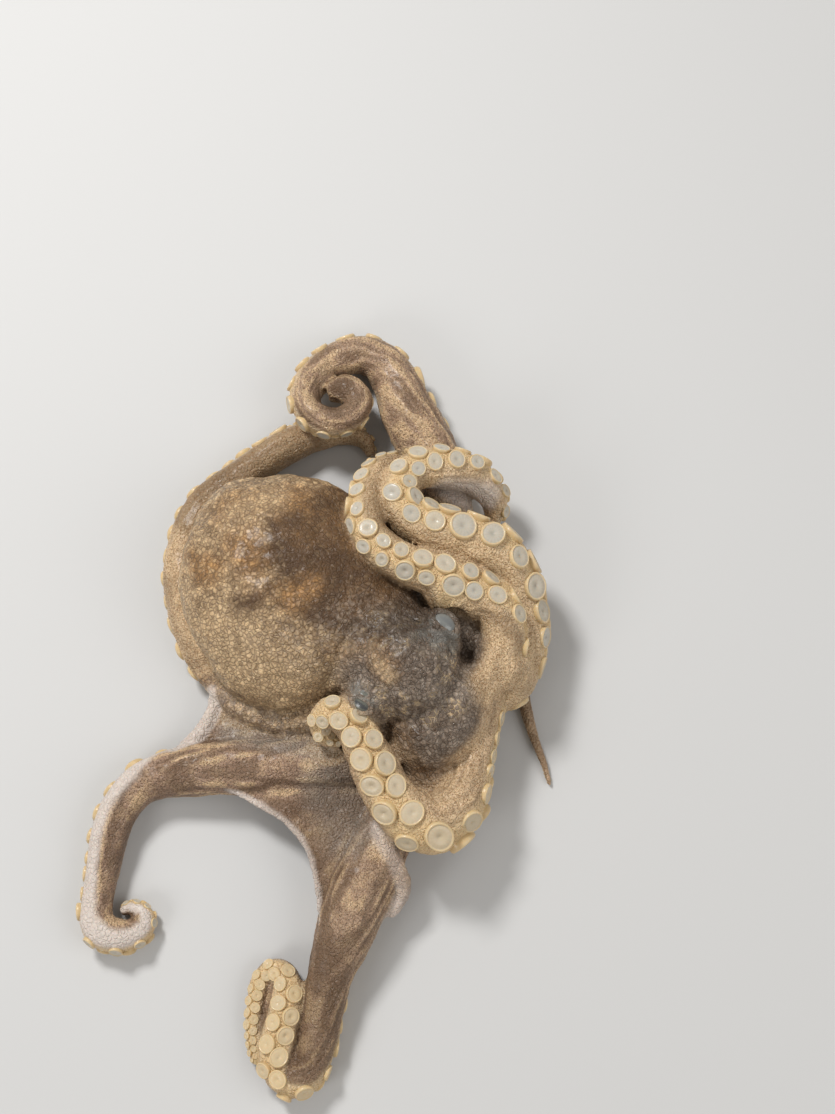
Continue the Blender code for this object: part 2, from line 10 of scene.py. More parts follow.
import bmesh
import bpy
import numpy as np
from bpy.props import FloatProperty, FloatVectorProperty, IntProperty, PointerProperty
from mathutils import Matrix, Vector
from mathutils.bvhtree import BVHTree
from mathutils.kdtree import KDTree


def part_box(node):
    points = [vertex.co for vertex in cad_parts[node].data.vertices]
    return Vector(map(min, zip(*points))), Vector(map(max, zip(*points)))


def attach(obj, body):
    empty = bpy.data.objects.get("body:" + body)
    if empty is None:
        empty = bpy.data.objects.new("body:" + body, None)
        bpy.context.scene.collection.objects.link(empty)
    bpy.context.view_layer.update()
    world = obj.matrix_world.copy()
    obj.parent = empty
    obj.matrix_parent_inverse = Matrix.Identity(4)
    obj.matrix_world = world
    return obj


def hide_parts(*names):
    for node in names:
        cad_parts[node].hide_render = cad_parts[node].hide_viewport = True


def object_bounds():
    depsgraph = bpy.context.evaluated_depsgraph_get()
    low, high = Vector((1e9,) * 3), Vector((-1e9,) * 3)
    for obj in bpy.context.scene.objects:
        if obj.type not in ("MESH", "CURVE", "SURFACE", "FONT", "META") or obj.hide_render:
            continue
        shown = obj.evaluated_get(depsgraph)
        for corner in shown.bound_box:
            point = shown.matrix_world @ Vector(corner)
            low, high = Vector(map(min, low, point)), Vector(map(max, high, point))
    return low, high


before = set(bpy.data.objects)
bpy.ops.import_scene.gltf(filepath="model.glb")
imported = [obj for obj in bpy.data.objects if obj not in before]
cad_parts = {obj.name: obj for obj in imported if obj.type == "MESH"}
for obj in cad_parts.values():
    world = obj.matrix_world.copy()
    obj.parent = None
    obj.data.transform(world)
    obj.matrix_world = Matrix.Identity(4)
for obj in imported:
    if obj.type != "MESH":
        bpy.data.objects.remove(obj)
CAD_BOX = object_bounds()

bl_info = {
    "name": "Resting octopus",
    "version": (1, 0, 0),
    "blender": (4, 5, 0),
    "location": "View3D > Sidebar > Octopus",
    "description": "Grows the skin, suckers and eyes of a resting octopus on its frame",
    "category": "Object",
}

MM = 0.001
UP = Vector((0.0, 0.0, 1.0))
POINTS_PER_LEG = 14     # points on a route's smooth curve from one stop to the next
AXIS_REACH = 0.6        # how far before and behind a point its heading is read, in millimetres
ARM_SIDES = 24
FOLD_SIDES = 12
SIPHON_SIDES = 32
WEB_GRID = 50           # squares along each edge of a web
ARM_STEP = 0.16         # spacing of an arm's rings, in half widths
FOLD_STEP = 0.4         # spacing of a fold's rings, in half widths
LEAST_STEP = 0.35       # the closest that rings stand, in millimetres
INNER_FLAT = 0.90       # how far the sucker side of an arm is flattened
WEB_FLOOR = 1.4         # least height of a web's middle, in millimetres
STATION_STEP = 0.9      # spacing of the places where the skin reads its arm, in millimetres
STREAK_PARTING = 500.0  # keeps the streaks of two arms unlike
STREAK_RATES = (1.8, 0.20, 0.3)  # how fast streaks change across an arm, along it and away from it
TINT_FADE = 7.0         # how gently an arm's tints begin, in millimetres each way
NEAREST = 5             # places looked at to find the arm that a point belongs to
ZONE_BLEND = 0.8        # how softly one part's skin passes into the next, in millimetres
FLOOR_GAP = 0.12        # how high the lowest skin lies, in millimetres
FLOOR_REACH = 12.0      # half the floor, in lengths of the animal
CAMERA_TARGET = Vector((25.0, 38.5, 0.0))  # in millimetres
LIGHTS = (
    # name, place in metres, size, share of the main light's strength
    ("key", (-0.30, 0.42, 0.62), 0.16, 1.0),
    ("fill", (0.60, -0.20, 0.50), 0.60, 0.40),
    ("rim", (-0.50, -0.45, 0.45), 0.30, 0.30),
)
AMBIENT = {"Color": (1.0, 0.98, 0.95, 1.0), "Strength": 0.36}

# Each stop of an arm's route is x, y and height of its centre, its half width, and the roll of its
# sucker side in degrees: 0 looks down, 90 to the right of the route, 180 up.
ARM_ROUTES = {
    "arm_r1": (
        (31.5, -7.5, 10.0, 6.0, -20), (38.5, -2.5, 13.0, 5.6, -50), (42.0, -3.5, 14.0, 5.0, -65),
        (41.5, -9.5, 14.0, 4.5, -70), (39.0, -19.0, 14.0, 5.0, -80), (36.0, -28.5, 15.5, 6.6, -95),
        (29.0, -34.5, 17.0, 7.6, -125), (21.5, -31.0, 19.5, 6.9, -160),
        (16.5, -24.5, 20.5, 6.3, -178), (12.5, -16.5, 22.0, 5.8, -182), (9.0, -10.0, 23.0, 5.2, -182),
        (4.0, -7.0, 22.5, 4.4, -184), (1.0, -9.0, 20.0, 3.5, -186), (2.0, -12.5, 17.8, 2.7, -180),
        (6.0, -14.0, 17.0, 1.4, -170)),
    "arm_r2": (
        (25.5, -16.0, 7.5, 6.5, 0), (20.0, -27.0, 6.6, 6.6, 5), (15.0, -39.5, 7.8, 7.8, 5),
        (10.5, -50.0, 8.3, 8.3, 0), (7.0, -59.5, 7.5, 7.5, -10), (4.0, -68.0, 6.4, 6.4, -20),
        (2.0, -76.5, 5.4, 5.4, -30), (0.8, -85.5, 4.8, 4.8, -45), (-1.5, -93.0, 4.6, 4.6, -75),
        (-6.2, -95.6, 4.6, 4.6, -118), (-9.6, -92.0, 4.6, 4.6, -155), (-9.2, -84.5, 4.6, 4.6, -178),
        (-7.6, -77.0, 4.5, 4.4, -182), (-8.0, -71.5, 3.9, 3.7, -186), (-11.4, -69.3, 3.1, 2.9, -192),
        (-14.5, -72.5, 2.8, 2.6, -200), (-15.6, -79.5, 2.7, 2.5, -205), (-15.8, -87.0, 2.3, 2.0, -205),
        (-14.8, -92.0, 1.6, 1.2, -200)),
    "arm_r3": (
        (22.0, -16.0, 8.0, 7.0, 10), (7.5, -17.5, 8.0, 7.4, 10), (-5.0, -18.0, 7.6, 7.5, 10),
        (-18.0, -18.8, 7.3, 7.2, 12), (-29.5, -19.3, 6.9, 6.8, 18), (-39.0, -20.5, 6.2, 6.1, 30),
        (-46.5, -23.5, 5.7, 5.5, 42), (-51.5, -29.5, 5.3, 5.1, 50), (-54.0, -37.0, 5.0, 4.8, 52),
        (-55.0, -44.0, 4.6, 4.4, 55), (-56.0, -51.0, 4.4, 4.2, 65), (-56.3, -57.0, 4.5, 4.4, 75),
        (-53.5, -60.5, 4.6, 4.6, 84), (-48.5, -61.0, 4.2, 4.2, 88), (-44.5, -59.0, 3.5, 3.4, 90),
        (-44.2, -55.6, 2.9, 2.5, 90), (-47.5, -54.0, 2.6, 2.0, 90), (-50.5, -55.0, 2.4, 1.2, 90)),
    "arm_r4": (
        (22.0, -10.5, 8.0, 6.3, 0), (7.5, -8.0, 6.6, 5.8, -5), (-8.0, -4.5, 6.0, 5.4, -15),
        (-20.0, 0.5, 5.8, 5.3, -30), (-29.0, 8.5, 5.8, 5.5, -40), (-34.2, 19.0, 5.9, 5.7, -45),
        (-37.0, 31.0, 5.7, 5.5, -48), (-36.0, 42.0, 5.5, 5.3, -50), (-32.0, 51.5, 5.3, 5.1, -55),
        (-24.5, 58.0, 5.1, 4.9, -60), (-17.0, 64.0, 5.1, 4.9, -75), (-11.0, 68.0, 5.2, 5.1, -80),
        (-4.5, 71.0, 4.8, 4.6, -75), (2.5, 72.5, 3.7, 3.5, -65), (8.0, 72.0, 3.1, 2.9, -60),
        (11.0, 70.0, 2.5, 2.3, -60), (12.5, 66.5, 1.7, 1.4, -60)),
    "arm_l1": (
        (34.5, -3.5, 6.0, 5.0, 0), (41.0, 4.0, 4.4, 4.2, 0), (44.5, 13.5, 3.6, 3.5, 0),
        (47.0, 23.0, 3.1, 3.0, 0), (50.5, 27.0, 2.8, 2.7, 0), (53.5, 23.0, 2.6, 2.5, 0),
        (54.0, 14.0, 2.3, 2.2, 0), (52.5, 4.5, 2.0, 1.9, 0), (53.5, -3.0, 1.7, 1.6, 0),
        (55.5, -10.5, 1.5, 1.3, 0), (58.0, -17.5, 1.2, 1.0, 0), (59.5, -23.0, 0.9, 0.6, 0)),
    "arm_l2": (
        (34.0, -5.5, 12.0, 6.0, 0), (43.0, -1.0, 12.0, 6.2, 20), (49.5, 3.5, 12.0, 6.3, 50),
        (52.0, 12.0, 12.5, 6.5, 80), (52.0, 21.0, 14.0, 6.7, 105), (50.0, 28.5, 17.0, 6.9, 122),
        (44.5, 35.0, 20.5, 7.2, 133), (36.5, 38.0, 22.5, 7.0, 140), (28.0, 40.5, 23.5, 6.4, 148),
        (22.5, 44.0, 24.5, 5.8, 160), (20.0, 49.0, 25.0, 5.3, 172), (22.0, 54.0, 24.0, 4.9, 185),
        (26.5, 56.6, 22.5, 5.2, 202), (33.0, 57.2, 20.5, 5.5, 218), (39.0, 56.5, 17.5, 5.3, 235),
        (43.0, 54.0, 14.0, 4.7, 252), (45.5, 51.0, 10.5, 3.9, 265), (45.2, 47.5, 7.5, 2.8, 270),
        (43.5, 46.5, 5.0, 1.3, 270)),
    "arm_l3": (
        (33.5, -2.5, 14.0, 5.8, 0), (40.5, 1.0, 17.0, 5.8, 10), (45.5, 7.0, 19.0, 5.9, 40),
        (47.0, 14.0, 20.5, 6.0, 85), (44.5, 20.5, 22.0, 6.0, 130), (38.0, 24.5, 24.0, 5.8, 168),
        (31.0, 27.0, 26.0, 5.6, 180), (24.5, 29.0, 27.0, 5.3, 184), (18.5, 32.0, 28.0, 5.0, 190),
        (13.5, 36.5, 28.0, 4.8, 205), (11.5, 43.5, 26.5, 4.7, 232), (12.5, 50.5, 23.5, 4.5, 248),
        (15.0, 56.5, 19.5, 4.1, 258), (18.5, 60.0, 16.0, 3.0, 262), (21.0, 60.5, 14.0, 1.7, 265)),
    "arm_l4": (
        (29.5, -2.0, 9.0, 6.5, 0), (33.0, 10.5, 7.6, 6.8, 0), (35.0, 22.5, 7.2, 7.0, 0),
        (34.5, 36.0, 7.2, 7.0, 0), (33.0, 49.5, 7.3, 7.1, 10), (30.0, 59.5, 7.6, 7.4, 20),
        (27.0, 68.0, 7.9, 7.8, 35), (22.5, 77.0, 7.9, 7.6, 45), (20.0, 84.0, 7.3, 6.8, 55),
        (16.5, 90.5, 6.8, 6.0, 65), (10.0, 94.0, 6.8, 5.4, 72), (2.5, 92.3, 7.2, 5.1, 75),
        (-3.2, 87.0, 8.4, 4.9, 80), (-5.6, 80.0, 10.2, 4.6, 82), (-3.0, 74.5, 12.0, 4.3, 75),
        (2.5, 72.5, 12.5, 4.1, 62), (7.8, 75.0, 11.8, 4.0, 45), (9.0, 79.5, 10.8, 4.0, 25),
        (5.5, 82.5, 10.4, 4.0, 10), (0.8, 82.0, 9.8, 2.8, 0)),
}

# Lobes: centre, half length along the body, half width across it, half height.
BODY_YAW = -37.0
MANTLE_YAW = -50.0
MANTLE_LOBES = (
    ((-7.5, 27.0, 15.3), (30.5, 28.0, 17.5)),
    ((11.0, 14.5, 15.0), (17.0, 19.0, 13.0)),
    ((-17.0, 39.0, 14.0), (17.0, 17.5, 13.5)),
    ((-8.0, 16.0, 13.5), (21.5, 22.0, 14.0)),
)
HEAD_LOBES = (
    ((15.5, 10.0, 17.0), (13.0, 16.0, 13.0)),
    ((22.5, 4.5, 19.5), (14.5, 13.5, 14.5)),
    ((29.0, 12.0, 23.5), (7.5, 6.5, 7.0)),
    ((14.0, -2.5, 21.5), (7.5, 6.5, 7.0)),
)
CROWN_LOBES = (
    ((31.0, -6.0, 14.0), (13.0, 17.0, 12.5)),
    ((29.0, -17.0, 9.5), (13.0, 13.5, 8.5)),
    ((46.0, 6.0, 14.0), (9.5, 7.5, 11.0)),
    ((36.0, 11.5, 9.0), (9.0, 8.0, 8.5)),
)

# Webs between two arms: how far each reaches along both, how much its free edge and its middle hang
# back, how high it sits on the arms (in half widths) and how thick its free edge is.
WEBS = (
    ("arm_r3", "arm_r2", 56.0, 61.0, 0.30, 1.0, 0.50, 1.0),
    ("arm_r4", "arm_r3", 52.0, 68.0, 0.10, 0.5, 0.35, 1.7),
    ("arm_r2", "arm_r1", 30.0, 44.0, 0.10, 4.0, 0.0, 1.3),
)
WEB_EDGE = ((14.5, -34.0, 16.0), (17.5, -39.5, 15.0), (20.3, -45.0, 12.5), (21.5, -50.0, 9.5),
            (18.0, -56.5, 7.5))
WEB_EDGE_RADIUS = 2.2

# Loose skin along the mantle's lower edge, and folds beside the head: places and radius.
MARGIN = ((-28.0, 2.0, 7.5), (-20.5, -3.5, 8.5), (-12.0, -6.5, 9.0), (-4.5, -10.0, 9.0))
FOLDS = (
    (MARGIN, 3.4),
    (((36.2, 7.5, 19.0), (38.0, -0.6, 18.0), (36.3, -10.5, 15.5), (32.7, -20.2, 12.5),
      (30.7, -25.0, 10.0)), 1.4),
    (((20.0, 19.0, 25.0), (25.0, 16.5, 27.5), (31.0, 17.5, 25.5), (35.0, 13.0, 22.0)), 1.2),
    (((5.0, -4.0, 22.0), (12.0, -8.0, 22.5), (18.0, -9.5, 22.0)), 1.1),
    (((14.5, -5.5, 18.0), (17.0, -9.0, 16.5), (19.3, -13.0, 14.0), (21.6, -18.6, 10.5),
      (24.0, -24.0, 8.0)), 3.4),
    (((23.6, 25.0, 15.0), (28.0, 22.0, 16.5), (34.0, 18.5, 18.0), (37.5, 14.0, 18.0),
      (38.0, 8.5, 16.5)), 4.2),
    (((14.5, 47.5, 6.5), (19.0, 41.7, 6.5), (26.0, 38.0, 7.0)), 3.0),
)

# Soft marks of the skin: the line each follows, where it is full and where it ends.
# Dark marks: dark pigment of the mantle and the darker front web, and painted shade in the hollows and
# creases noted below.
DARK_AND_SHADE_MARKS = (
    (((-3.0, 38.0, 29.0), (7.0, 41.0, 25.0), (9.0, 33.0, 27.0), (0.0, 30.0, 31.0),
      (6.0, 22.0, 32.0), (22.0, 17.0, 29.0)), 5.0, 16.0),
    (((-18.0, 19.0, 31.0), (-9.0, 23.0, 32.0), (0.0, 26.0, 32.0)), -5.0, 9.0),
    (((-15.0, 31.0, 32.0), (-2.0, 31.0, 32.0)), -1.0, 9.0),
    (((-3.0, 8.0, 31.0), (8.0, 11.0, 32.0), (9.0, 4.0, 30.0)), -9.0, 10.0),
    # Painted shade under arm l3, beside the mantle.
    (((14.5, 47.5, 6.5), (19.0, 41.7, 6.5), (26.0, 38.0, 7.0)), 3.0, 5.5),
    # Painted shade in the gap between arm r1 and the crown.
    (((13.0, -5.5, 16.0), (17.2, -9.3, 13.5), (21.6, -18.6, 9.5)), -1.0, 6.0),
    # Painted shade in the pit beside the left eye, next to the arms.
    (((34.5, 14.0, 20.0), (37.5, 5.0, 18.0), (37.0, 15.0, 14.0)), -3.0, 7.0),
    (((21.0, -14.0, 14.0), (28.0, -22.0, 9.0)), 2.0, 9.5),
    # Painted shade along the crease at the face's right edge, next to the arms.
    (((37.5, 8.0, 17.0), (37.5, 1.0, 17.0), (34.5, -10.0, 14.0), (30.0, -23.0, 9.0)), 1.0, 5.5),
)
# Dark marks that only the arms take: dark pigment, and painted shade in the hollow of arm l4's coil.
DARK_AND_SHADE_ARM_MARKS = (
    (((7.0, -27.0, 12.0), (-1.0, -36.0, 10.0), (1.0, -46.0, 9.0)), 3.0, 13.0),
    (((0.0, -68.0, 11.0), (-0.5, -92.0, 9.0)), 5.0, 10.0),
    # Painted shade in the hollow of arm l4's coil.
    (((2.5, 85.0, 16.0), (2.0, 78.0, 16.0)), 2.0, 7.0),
    (((-33.0, 51.0, 11.0), (-25.0, 57.0, 11.0), (-8.0, 68.0, 11.0)), 7.0, 11.0),
)
# Greyish skin; on the mantle's grains and the face, the violet flecks and cream ridges that these
# marks bring are painted glints of wet skin.
GREY_AND_GLINT_MARKS = (
    (((4.0, 10.0, 32.0), (11.0, 17.0, 32.0), (20.0, 12.0, 32.0)), 3.0, 10.0),
    (((28.0, 13.0, 30.0), (31.0, 6.0, 28.0), (32.0, -2.0, 24.0)), 3.0, 8.0),
    (((-8.0, 10.0, 31.0), (0.0, 1.0, 28.0)), 2.0, 8.0),
    (((37.0, 2.0, 18.0), (34.0, -16.0, 14.0), (29.0, -22.0, 10.0)), 1.2, 3.5),
    (((-24.0, -3.0, 10.0), (-8.0, -9.0, 11.0)), 2.0, 5.0),
    (((15.0, -5.5, 27.0), (24.0, -6.0, 27.0), (32.0, -4.0, 25.0)), 3.0, 7.0),
    (((3.0, -24.0, 12.0), (8.0, -36.0, 10.0)), 3.0, 11.0),
    (((-22.0, -8.0, 10.0), (2.0, -14.0, 12.0)), 3.0, 8.0),
)
TAN_MARKS = (
    (((-12.0, 46.0, 26.0), (-20.0, 42.0, 26.0)), 1.0, 8.0),
    (((-24.0, 10.0, 24.0), (-10.0, 3.0, 24.0)), 7.0, 13.0),
    (((-36.0, 28.0, 18.0), (-33.0, 14.0, 18.0)), 4.0, 9.0),
    (((11.0, 8.0, 33.0), (18.0, 0.0, 33.0)), 0.5, 3.5),
)
WARM_MARKS = (
    (((-22.0, 44.0, 25.0), (-8.0, 46.0, 25.0)), 3.0, 9.0),
    (((-19.0, 36.0, 30.0), (-17.0, 30.0, 31.0)), 2.0, 8.0),
    (((-34.0, 31.0, 22.0), (-27.0, 28.0, 27.0)), 2.0, 7.0),
    (((-6.0, 20.0, 32.0), (-2.0, 23.0, 32.0)), 1.0, 6.0),
    (((4.0, 6.0, 30.0), (13.0, 9.0, 32.0), (18.0, 3.0, 31.0)), 1.0, 6.0),
    (((22.0, -12.0, 16.0), (27.0, -22.0, 11.0)), 4.0, 10.0),
)
PALE_MARKS = (
    (((32.0, 54.5, 19.0), (41.0, 52.0, 15.0)), 4.0, 7.0),
    (WEB_EDGE, 0.6, 3.3),
    (MARGIN, -4.0, 5.0),
)
# Free edges of webs that are pale, where each is full and where it ends.
PALE_RIMS = ((WEBS[0], 0.5, 1.3), (WEBS[1], 1.9, 3.0))
MIST_MARKS = (
    (((27.0, 12.0, 30.0), (31.5, 10.0, 29.0)), 2.5, 7.5),
    (((9.0, -3.0, 27.0), (12.0, -6.0, 27.0)), 1.0, 4.5),
)
# The dark skin of the face ends with these lobes.
DARK_FACE = (
    ((27.0, -3.5, 14.0), (12.5, 12.5, 14.0)),
    ((24.5, -14.0, 9.5), (12.5, 9.0, 9.0)),
    ((35.5, 9.0, 17.0), (8.0, 8.0, 9.0)),
)

# For each arm: how pale its back is, how far up its pale inner skin begins (as the cosine to the
# sucker side), how whitish that skin is, and from which distance along the arm this holds.
ARM_TINTS = {
    "arm_r1": (0.50, 0.42, 0.10, 0.0), "arm_r2": (0.08, 0.25, 0.10, 0.0),
    "arm_r3": (0.0, -0.75, 1.00, 62.0), "arm_r4": (0.55, 0.35, 0.60, 0.0),
    "arm_l1": (0.30, 0.35, 0.30, 0.0), "arm_l2": (0.72, 0.45, 0.25, 0.0),
    "arm_l3": (0.62, 0.45, 0.15, 0.0), "arm_l4": (0.08, 0.35, 0.30, 0.0),
}
CREAM_SUCKERS = {"arm_r2": 0.70, "arm_r1": 0.35}
PLAIN_REACH = 0.30      # where the pale skin begins before that distance

WEB_MIDDLE = (31.0, -27.0)  # the pleats of the web run towards this place
WEB_PLEATS = 16.0

EYE_SIDES = ("left", "right")
EYE_OPEN = {"left": 1.0, "right": 0.72}
EYE_CLOUD = {"left": 0.75, "right": 0.25}
EYE_YAW = {"left": 78.0, "right": -78.0}  # degrees from the heading of the body
GAZE = (0.42, 0.90)     # how far an eye looks outwards and upwards
PUPIL = (0.46, 0.13)    # half length and half height of the slit, in radii of the eye
IRIS = 0.74             # radius of the iris, in radii of the eye
OPENING = (0.70, 0.42)  # half length and half height between the lids
LID_ROLL = 0.80         # how far the rolled edge of a lid stands up, in millimetres
LID_THICKNESS = 0.30
LID_DEPTH = 1.1         # how deep the skin dips inside the opening, so that the eye shows
LID_REACH = 6.0         # how far outside the eye the lids take their skin from, in millimetres
SIPHON_START = (5.0, -5.5, 13.5)
SIPHON_END = (-9.0, -8.5, 11.5)
SIPHON_RADII = (4.6, 3.0)
SIPHON_BORE = 1.9
SIPHON_DEPTH = 4.0
FLESH_NODES = tuple(sorted(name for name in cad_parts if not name.startswith("eye_")))


# ---------------------------------------------------------------- what a user may change

def colour_property(name, description, default):
    return FloatVectorProperty(name=name, description=description, default=default, subtype="COLOR")


class OCTOPUS_PG_skin(bpy.types.PropertyGroup):
    voxel: FloatProperty(name="Voxel", description="Grain at which the flesh is merged",
                         default=0.00062, min=0.0003, unit="LENGTH")
    triangles: IntProperty(name="Triangles", description="Triangles kept on the skin",
                           default=186000, min=20000)
    web: FloatProperty(name="Web", description="Thickness of the web between the arms",
                       default=0.0026, min=0.001, unit="LENGTH")
    tan: colour_property("Tan", "Lightest skin of the mantle", (0.72, 0.51, 0.29))
    orange: colour_property("Orange", "Warm patches of the mantle", (0.56, 0.30, 0.11))
    # Umber, and the black made from it in the skin material, also paint the shade that the dark marks
    # lay in hollows and creases.
    umber: colour_property("Umber", "Dark blotches, net and pigment specks", (0.082, 0.045, 0.022))
    # Violet is partly the greyish skin and partly painted glints on the wet grains.
    violet: colour_property("Violet", "Greyish violet glints of the dark skin", (0.48, 0.39, 0.31))
    # Cream also paints the highlights along the face's wrinkle ridges.
    cream: colour_property("Cream", "Ground colour of the palest arm backs", (0.72, 0.53, 0.31))
    brown: colour_property("Brown", "Ground colour of the darkest arm backs", (0.33, 0.215, 0.145))
    rust: colour_property("Rust", "Specks on the pale arm backs", (0.32, 0.17, 0.06))
    flesh: colour_property("Flesh", "Skin beside the suckers", (0.58, 0.43, 0.245))
    mist: colour_property("Mist", "Bluish grey bloom round the eyes", (0.27, 0.255, 0.225))
    pale: colour_property("Pale", "Whitish skin of inner sides and loose rims", (0.60, 0.52, 0.46))
    amber: colour_property("Amber", "Skin between the suckers", (0.64, 0.46, 0.25))


class OCTOPUS_PG_suckers(bpy.types.PropertyGroup):
    share: FloatProperty(name="Size", description="Radius of a sucker, in half widths of its arm",
                         default=0.51, min=0.1)
    pitch: FloatProperty(name="Pitch", description="Spacing along a row, in sucker radii",
                         default=2.08, min=1.0)
    spread: FloatProperty(name="Spread", description="Turn of each row from the arm's middle",
                          default=math.radians(27.0), subtype="ANGLE")
    least: FloatProperty(name="Least", description="Radius of the smallest sucker",
                         default=0.00028, min=0.0001, unit="LENGTH")
    rim: colour_property("Rim", "Colour of the raised rim", (0.60, 0.45, 0.25))
    disc: colour_property("Disc", "Colour of the clouded disc", (0.46, 0.42, 0.35))
    flank: colour_property("Flank", "Colour of the sucker's outer side", (0.56, 0.40, 0.20))


class OCTOPUS_PG_eyes(bpy.types.PropertyGroup):
    radius: FloatProperty(name="Radius", description="Radius of the eyeball",
                          default=0.0043, min=0.001, unit="LENGTH")
    iris: colour_property("Iris", "Colour of the iris", (0.12, 0.12, 0.085))
    cloud: colour_property("Cloud", "Colour of the clouded white of the eye", (0.20, 0.205, 0.20))


class OCTOPUS_PG_stage(bpy.types.PropertyGroup):
    floor: colour_property("Floor", "Colour of the floor", (0.54, 0.535, 0.525))
    light: FloatProperty(name="Light", description="Strength of the main soft light, in watts",
                         default=5.4, min=0.0)
    elevation: FloatProperty(name="Elevation", description="Height angle of the camera",
                             default=math.radians(76.0), subtype="ANGLE")
    distance: FloatProperty(name="Distance", description="From the camera to what it looks at",
                            default=0.418, min=0.1, unit="LENGTH")


# ---------------------------------------------------------------- mesh helpers

def finish_mesh(name, bm, smooth=False):
    for face in bm.faces:
        face.smooth = smooth
    mesh = bpy.data.meshes.new(name)
    bm.to_mesh(mesh)
    bm.free()
    obj = bpy.data.objects.new(name, mesh)
    bpy.context.scene.collection.objects.link(obj)
    return obj


def bake_modifiers(obj):
    bpy.context.view_layer.update()
    graph = bpy.context.evaluated_depsgraph_get()
    mesh = bpy.data.meshes.new_from_object(obj.evaluated_get(graph))
    old = obj.data
    obj.modifiers.clear()
    obj.data = mesh
    bpy.data.meshes.remove(old)


def keep_largest(obj):
    """Remove the specks that a remesh leaves loose, so that one closed shape stays."""
    bm = bmesh.new()
    bm.from_mesh(obj.data)
    largest = set()
    left = set(bm.verts)
    while left:
        found = set()
        front = {left.pop()}
        while front:
            found |= front
            front = {edge.other_vert(vert) for vert in front for edge in vert.link_edges} - found
        left -= found
        largest = max(largest, found, key=len)
    specks = [vert for vert in bm.verts if vert not in largest]
    bmesh.ops.delete(bm, geom=specks, context="VERTS")
    bm.to_mesh(obj.data)
    bm.free()


def smooth_route(stops):
    """Points on a smooth curve through the stops, with the arc length at each."""
    stops = np.array(stops, dtype=float)
    points = []
    for leg in range(len(stops) - 1):
        before = stops[max(leg - 1, 0)]
        start = stops[leg]
        end = stops[leg + 1]
        after = stops[min(leg + 2, len(stops) - 1)]
        for step in range(POINTS_PER_LEG):
            t = step / POINTS_PER_LEG
            points.append(0.5 * (2.0 * start + (end - before) * t
                                 + (2.0 * before - 5.0 * start + 4.0 * end - after) * t * t
                                 + (3.0 * start - before - 3.0 * end + after) * t ** 3))
    points.append(stops[-1])
    points = np.array(points)
    legs = np.linalg.norm(np.diff(points[:, :3], axis=0), axis=1)
    return points, np.concatenate(([0.0], np.cumsum(legs)))


class Route:
    """An arm's route: its stop values and its own axes at any distance from the mouth."""

    def __init__(self, stops):
        self.points, self.arc = smooth_route(stops)
        self.length = self.arc[-1]

    def at(self, distance):
        return np.array([np.interp(distance, self.arc, self.points[:, axis]) for axis in range(5)])

    def axes(self, distance):
        """The heading, the side and the inner (sucker) direction."""
        ahead = self.at(min(distance + AXIS_REACH, self.length))[:3]
        behind = self.at(max(distance - AXIS_REACH, 0.0))[:3]
        along = Vector(ahead - behind).normalized()
        right = along.cross(UP).normalized()
        up = right.cross(along)
        roll = math.radians(self.at(distance)[4])
        inner = right * math.sin(roll) - up * math.cos(roll)
        return along, along.cross(inner).normalized(), inner

    def section(self, distance):
        """The transform from a unit circle in X and Y to the arm's section in metres."""
        place = self.at(distance)
        along, side, inner = self.axes(distance)
        radius = place[3] * MM
        turn = Matrix((side * radius, inner * radius, along)).transposed().to_4x4()
        return Matrix.Translation(Vector(place[:3]) * MM) @ turn


ROUTES = {name: Route(stops) for name, stops in ARM_ROUTES.items()}


def add_part(bm, part):
    """Copy a finished part into the mesh that gathers them."""
    mesh = bpy.data.meshes.new("part")
    part.to_mesh(mesh)
    part.free()
    bm.from_mesh(mesh)
    bpy.data.meshes.remove(mesh)


def sweep(bm, route, sides, step):
    """A closed tube along a route: a ring drawn out from section to section."""
    tube = bmesh.new()
    ring = bmesh.ops.create_circle(tube, cap_ends=False, segments=sides, radius=1.0)["verts"]
    for vert in ring:
        if vert.co.y > 0.0:
            vert.co.y *= INNER_FLAT
    last = route.section(0.0)
    bmesh.ops.transform(tube, matrix=last, verts=ring)
    edges = list(tube.edges)
    bmesh.ops.contextual_create(tube, geom=edges)
    distance = 0.0
    while distance < route.length:
        distance = min(distance + max(step * route.at(distance)[3], LEAST_STEP), route.length)
        drawn = bmesh.ops.extrude_edge_only(tube, edges=edges)["geom"]
        verts = [item for item in drawn if isinstance(item, bmesh.types.BMVert)]
        edges = [item for item in drawn if isinstance(item, bmesh.types.BMEdge)]
        here = route.section(distance)
        bmesh.ops.transform(tube, matrix=here @ last.inverted(), verts=verts)
        last = here
    bmesh.ops.contextual_create(tube, geom=edges)
    add_part(bm, tube)


def add_lobe(bm, centre, halves, yaw):
    turn = Matrix.Rotation(math.radians(yaw), 4, "Z")
    scale = Matrix.Diagonal((*(Vector(halves) * MM), 1.0))
    bmesh.ops.create_icosphere(bm, subdivisions=5, radius=1.0,
                               matrix=Matrix.Translation(Vector(centre) * MM) @ turn @ scale)


def web_point(web, far, share):
    """A point of a web, from the mouth (far 0) to its free edge (far 1), across from arm to arm."""
    first, second, reach_first, reach_second, edge_sag, drop, lift, _ = web
    bow = 4.0 * share * (1.0 - share)
    far *= 1.0 - edge_sag * bow
    place = ((1.0 - share) * ROUTES[first].at(far * reach_first)
             + share * ROUTES[second].at(far * reach_second))
    place[2] = max(place[2] + lift * place[3] - drop * bow * far, WEB_FLOOR)
    return place[:3]


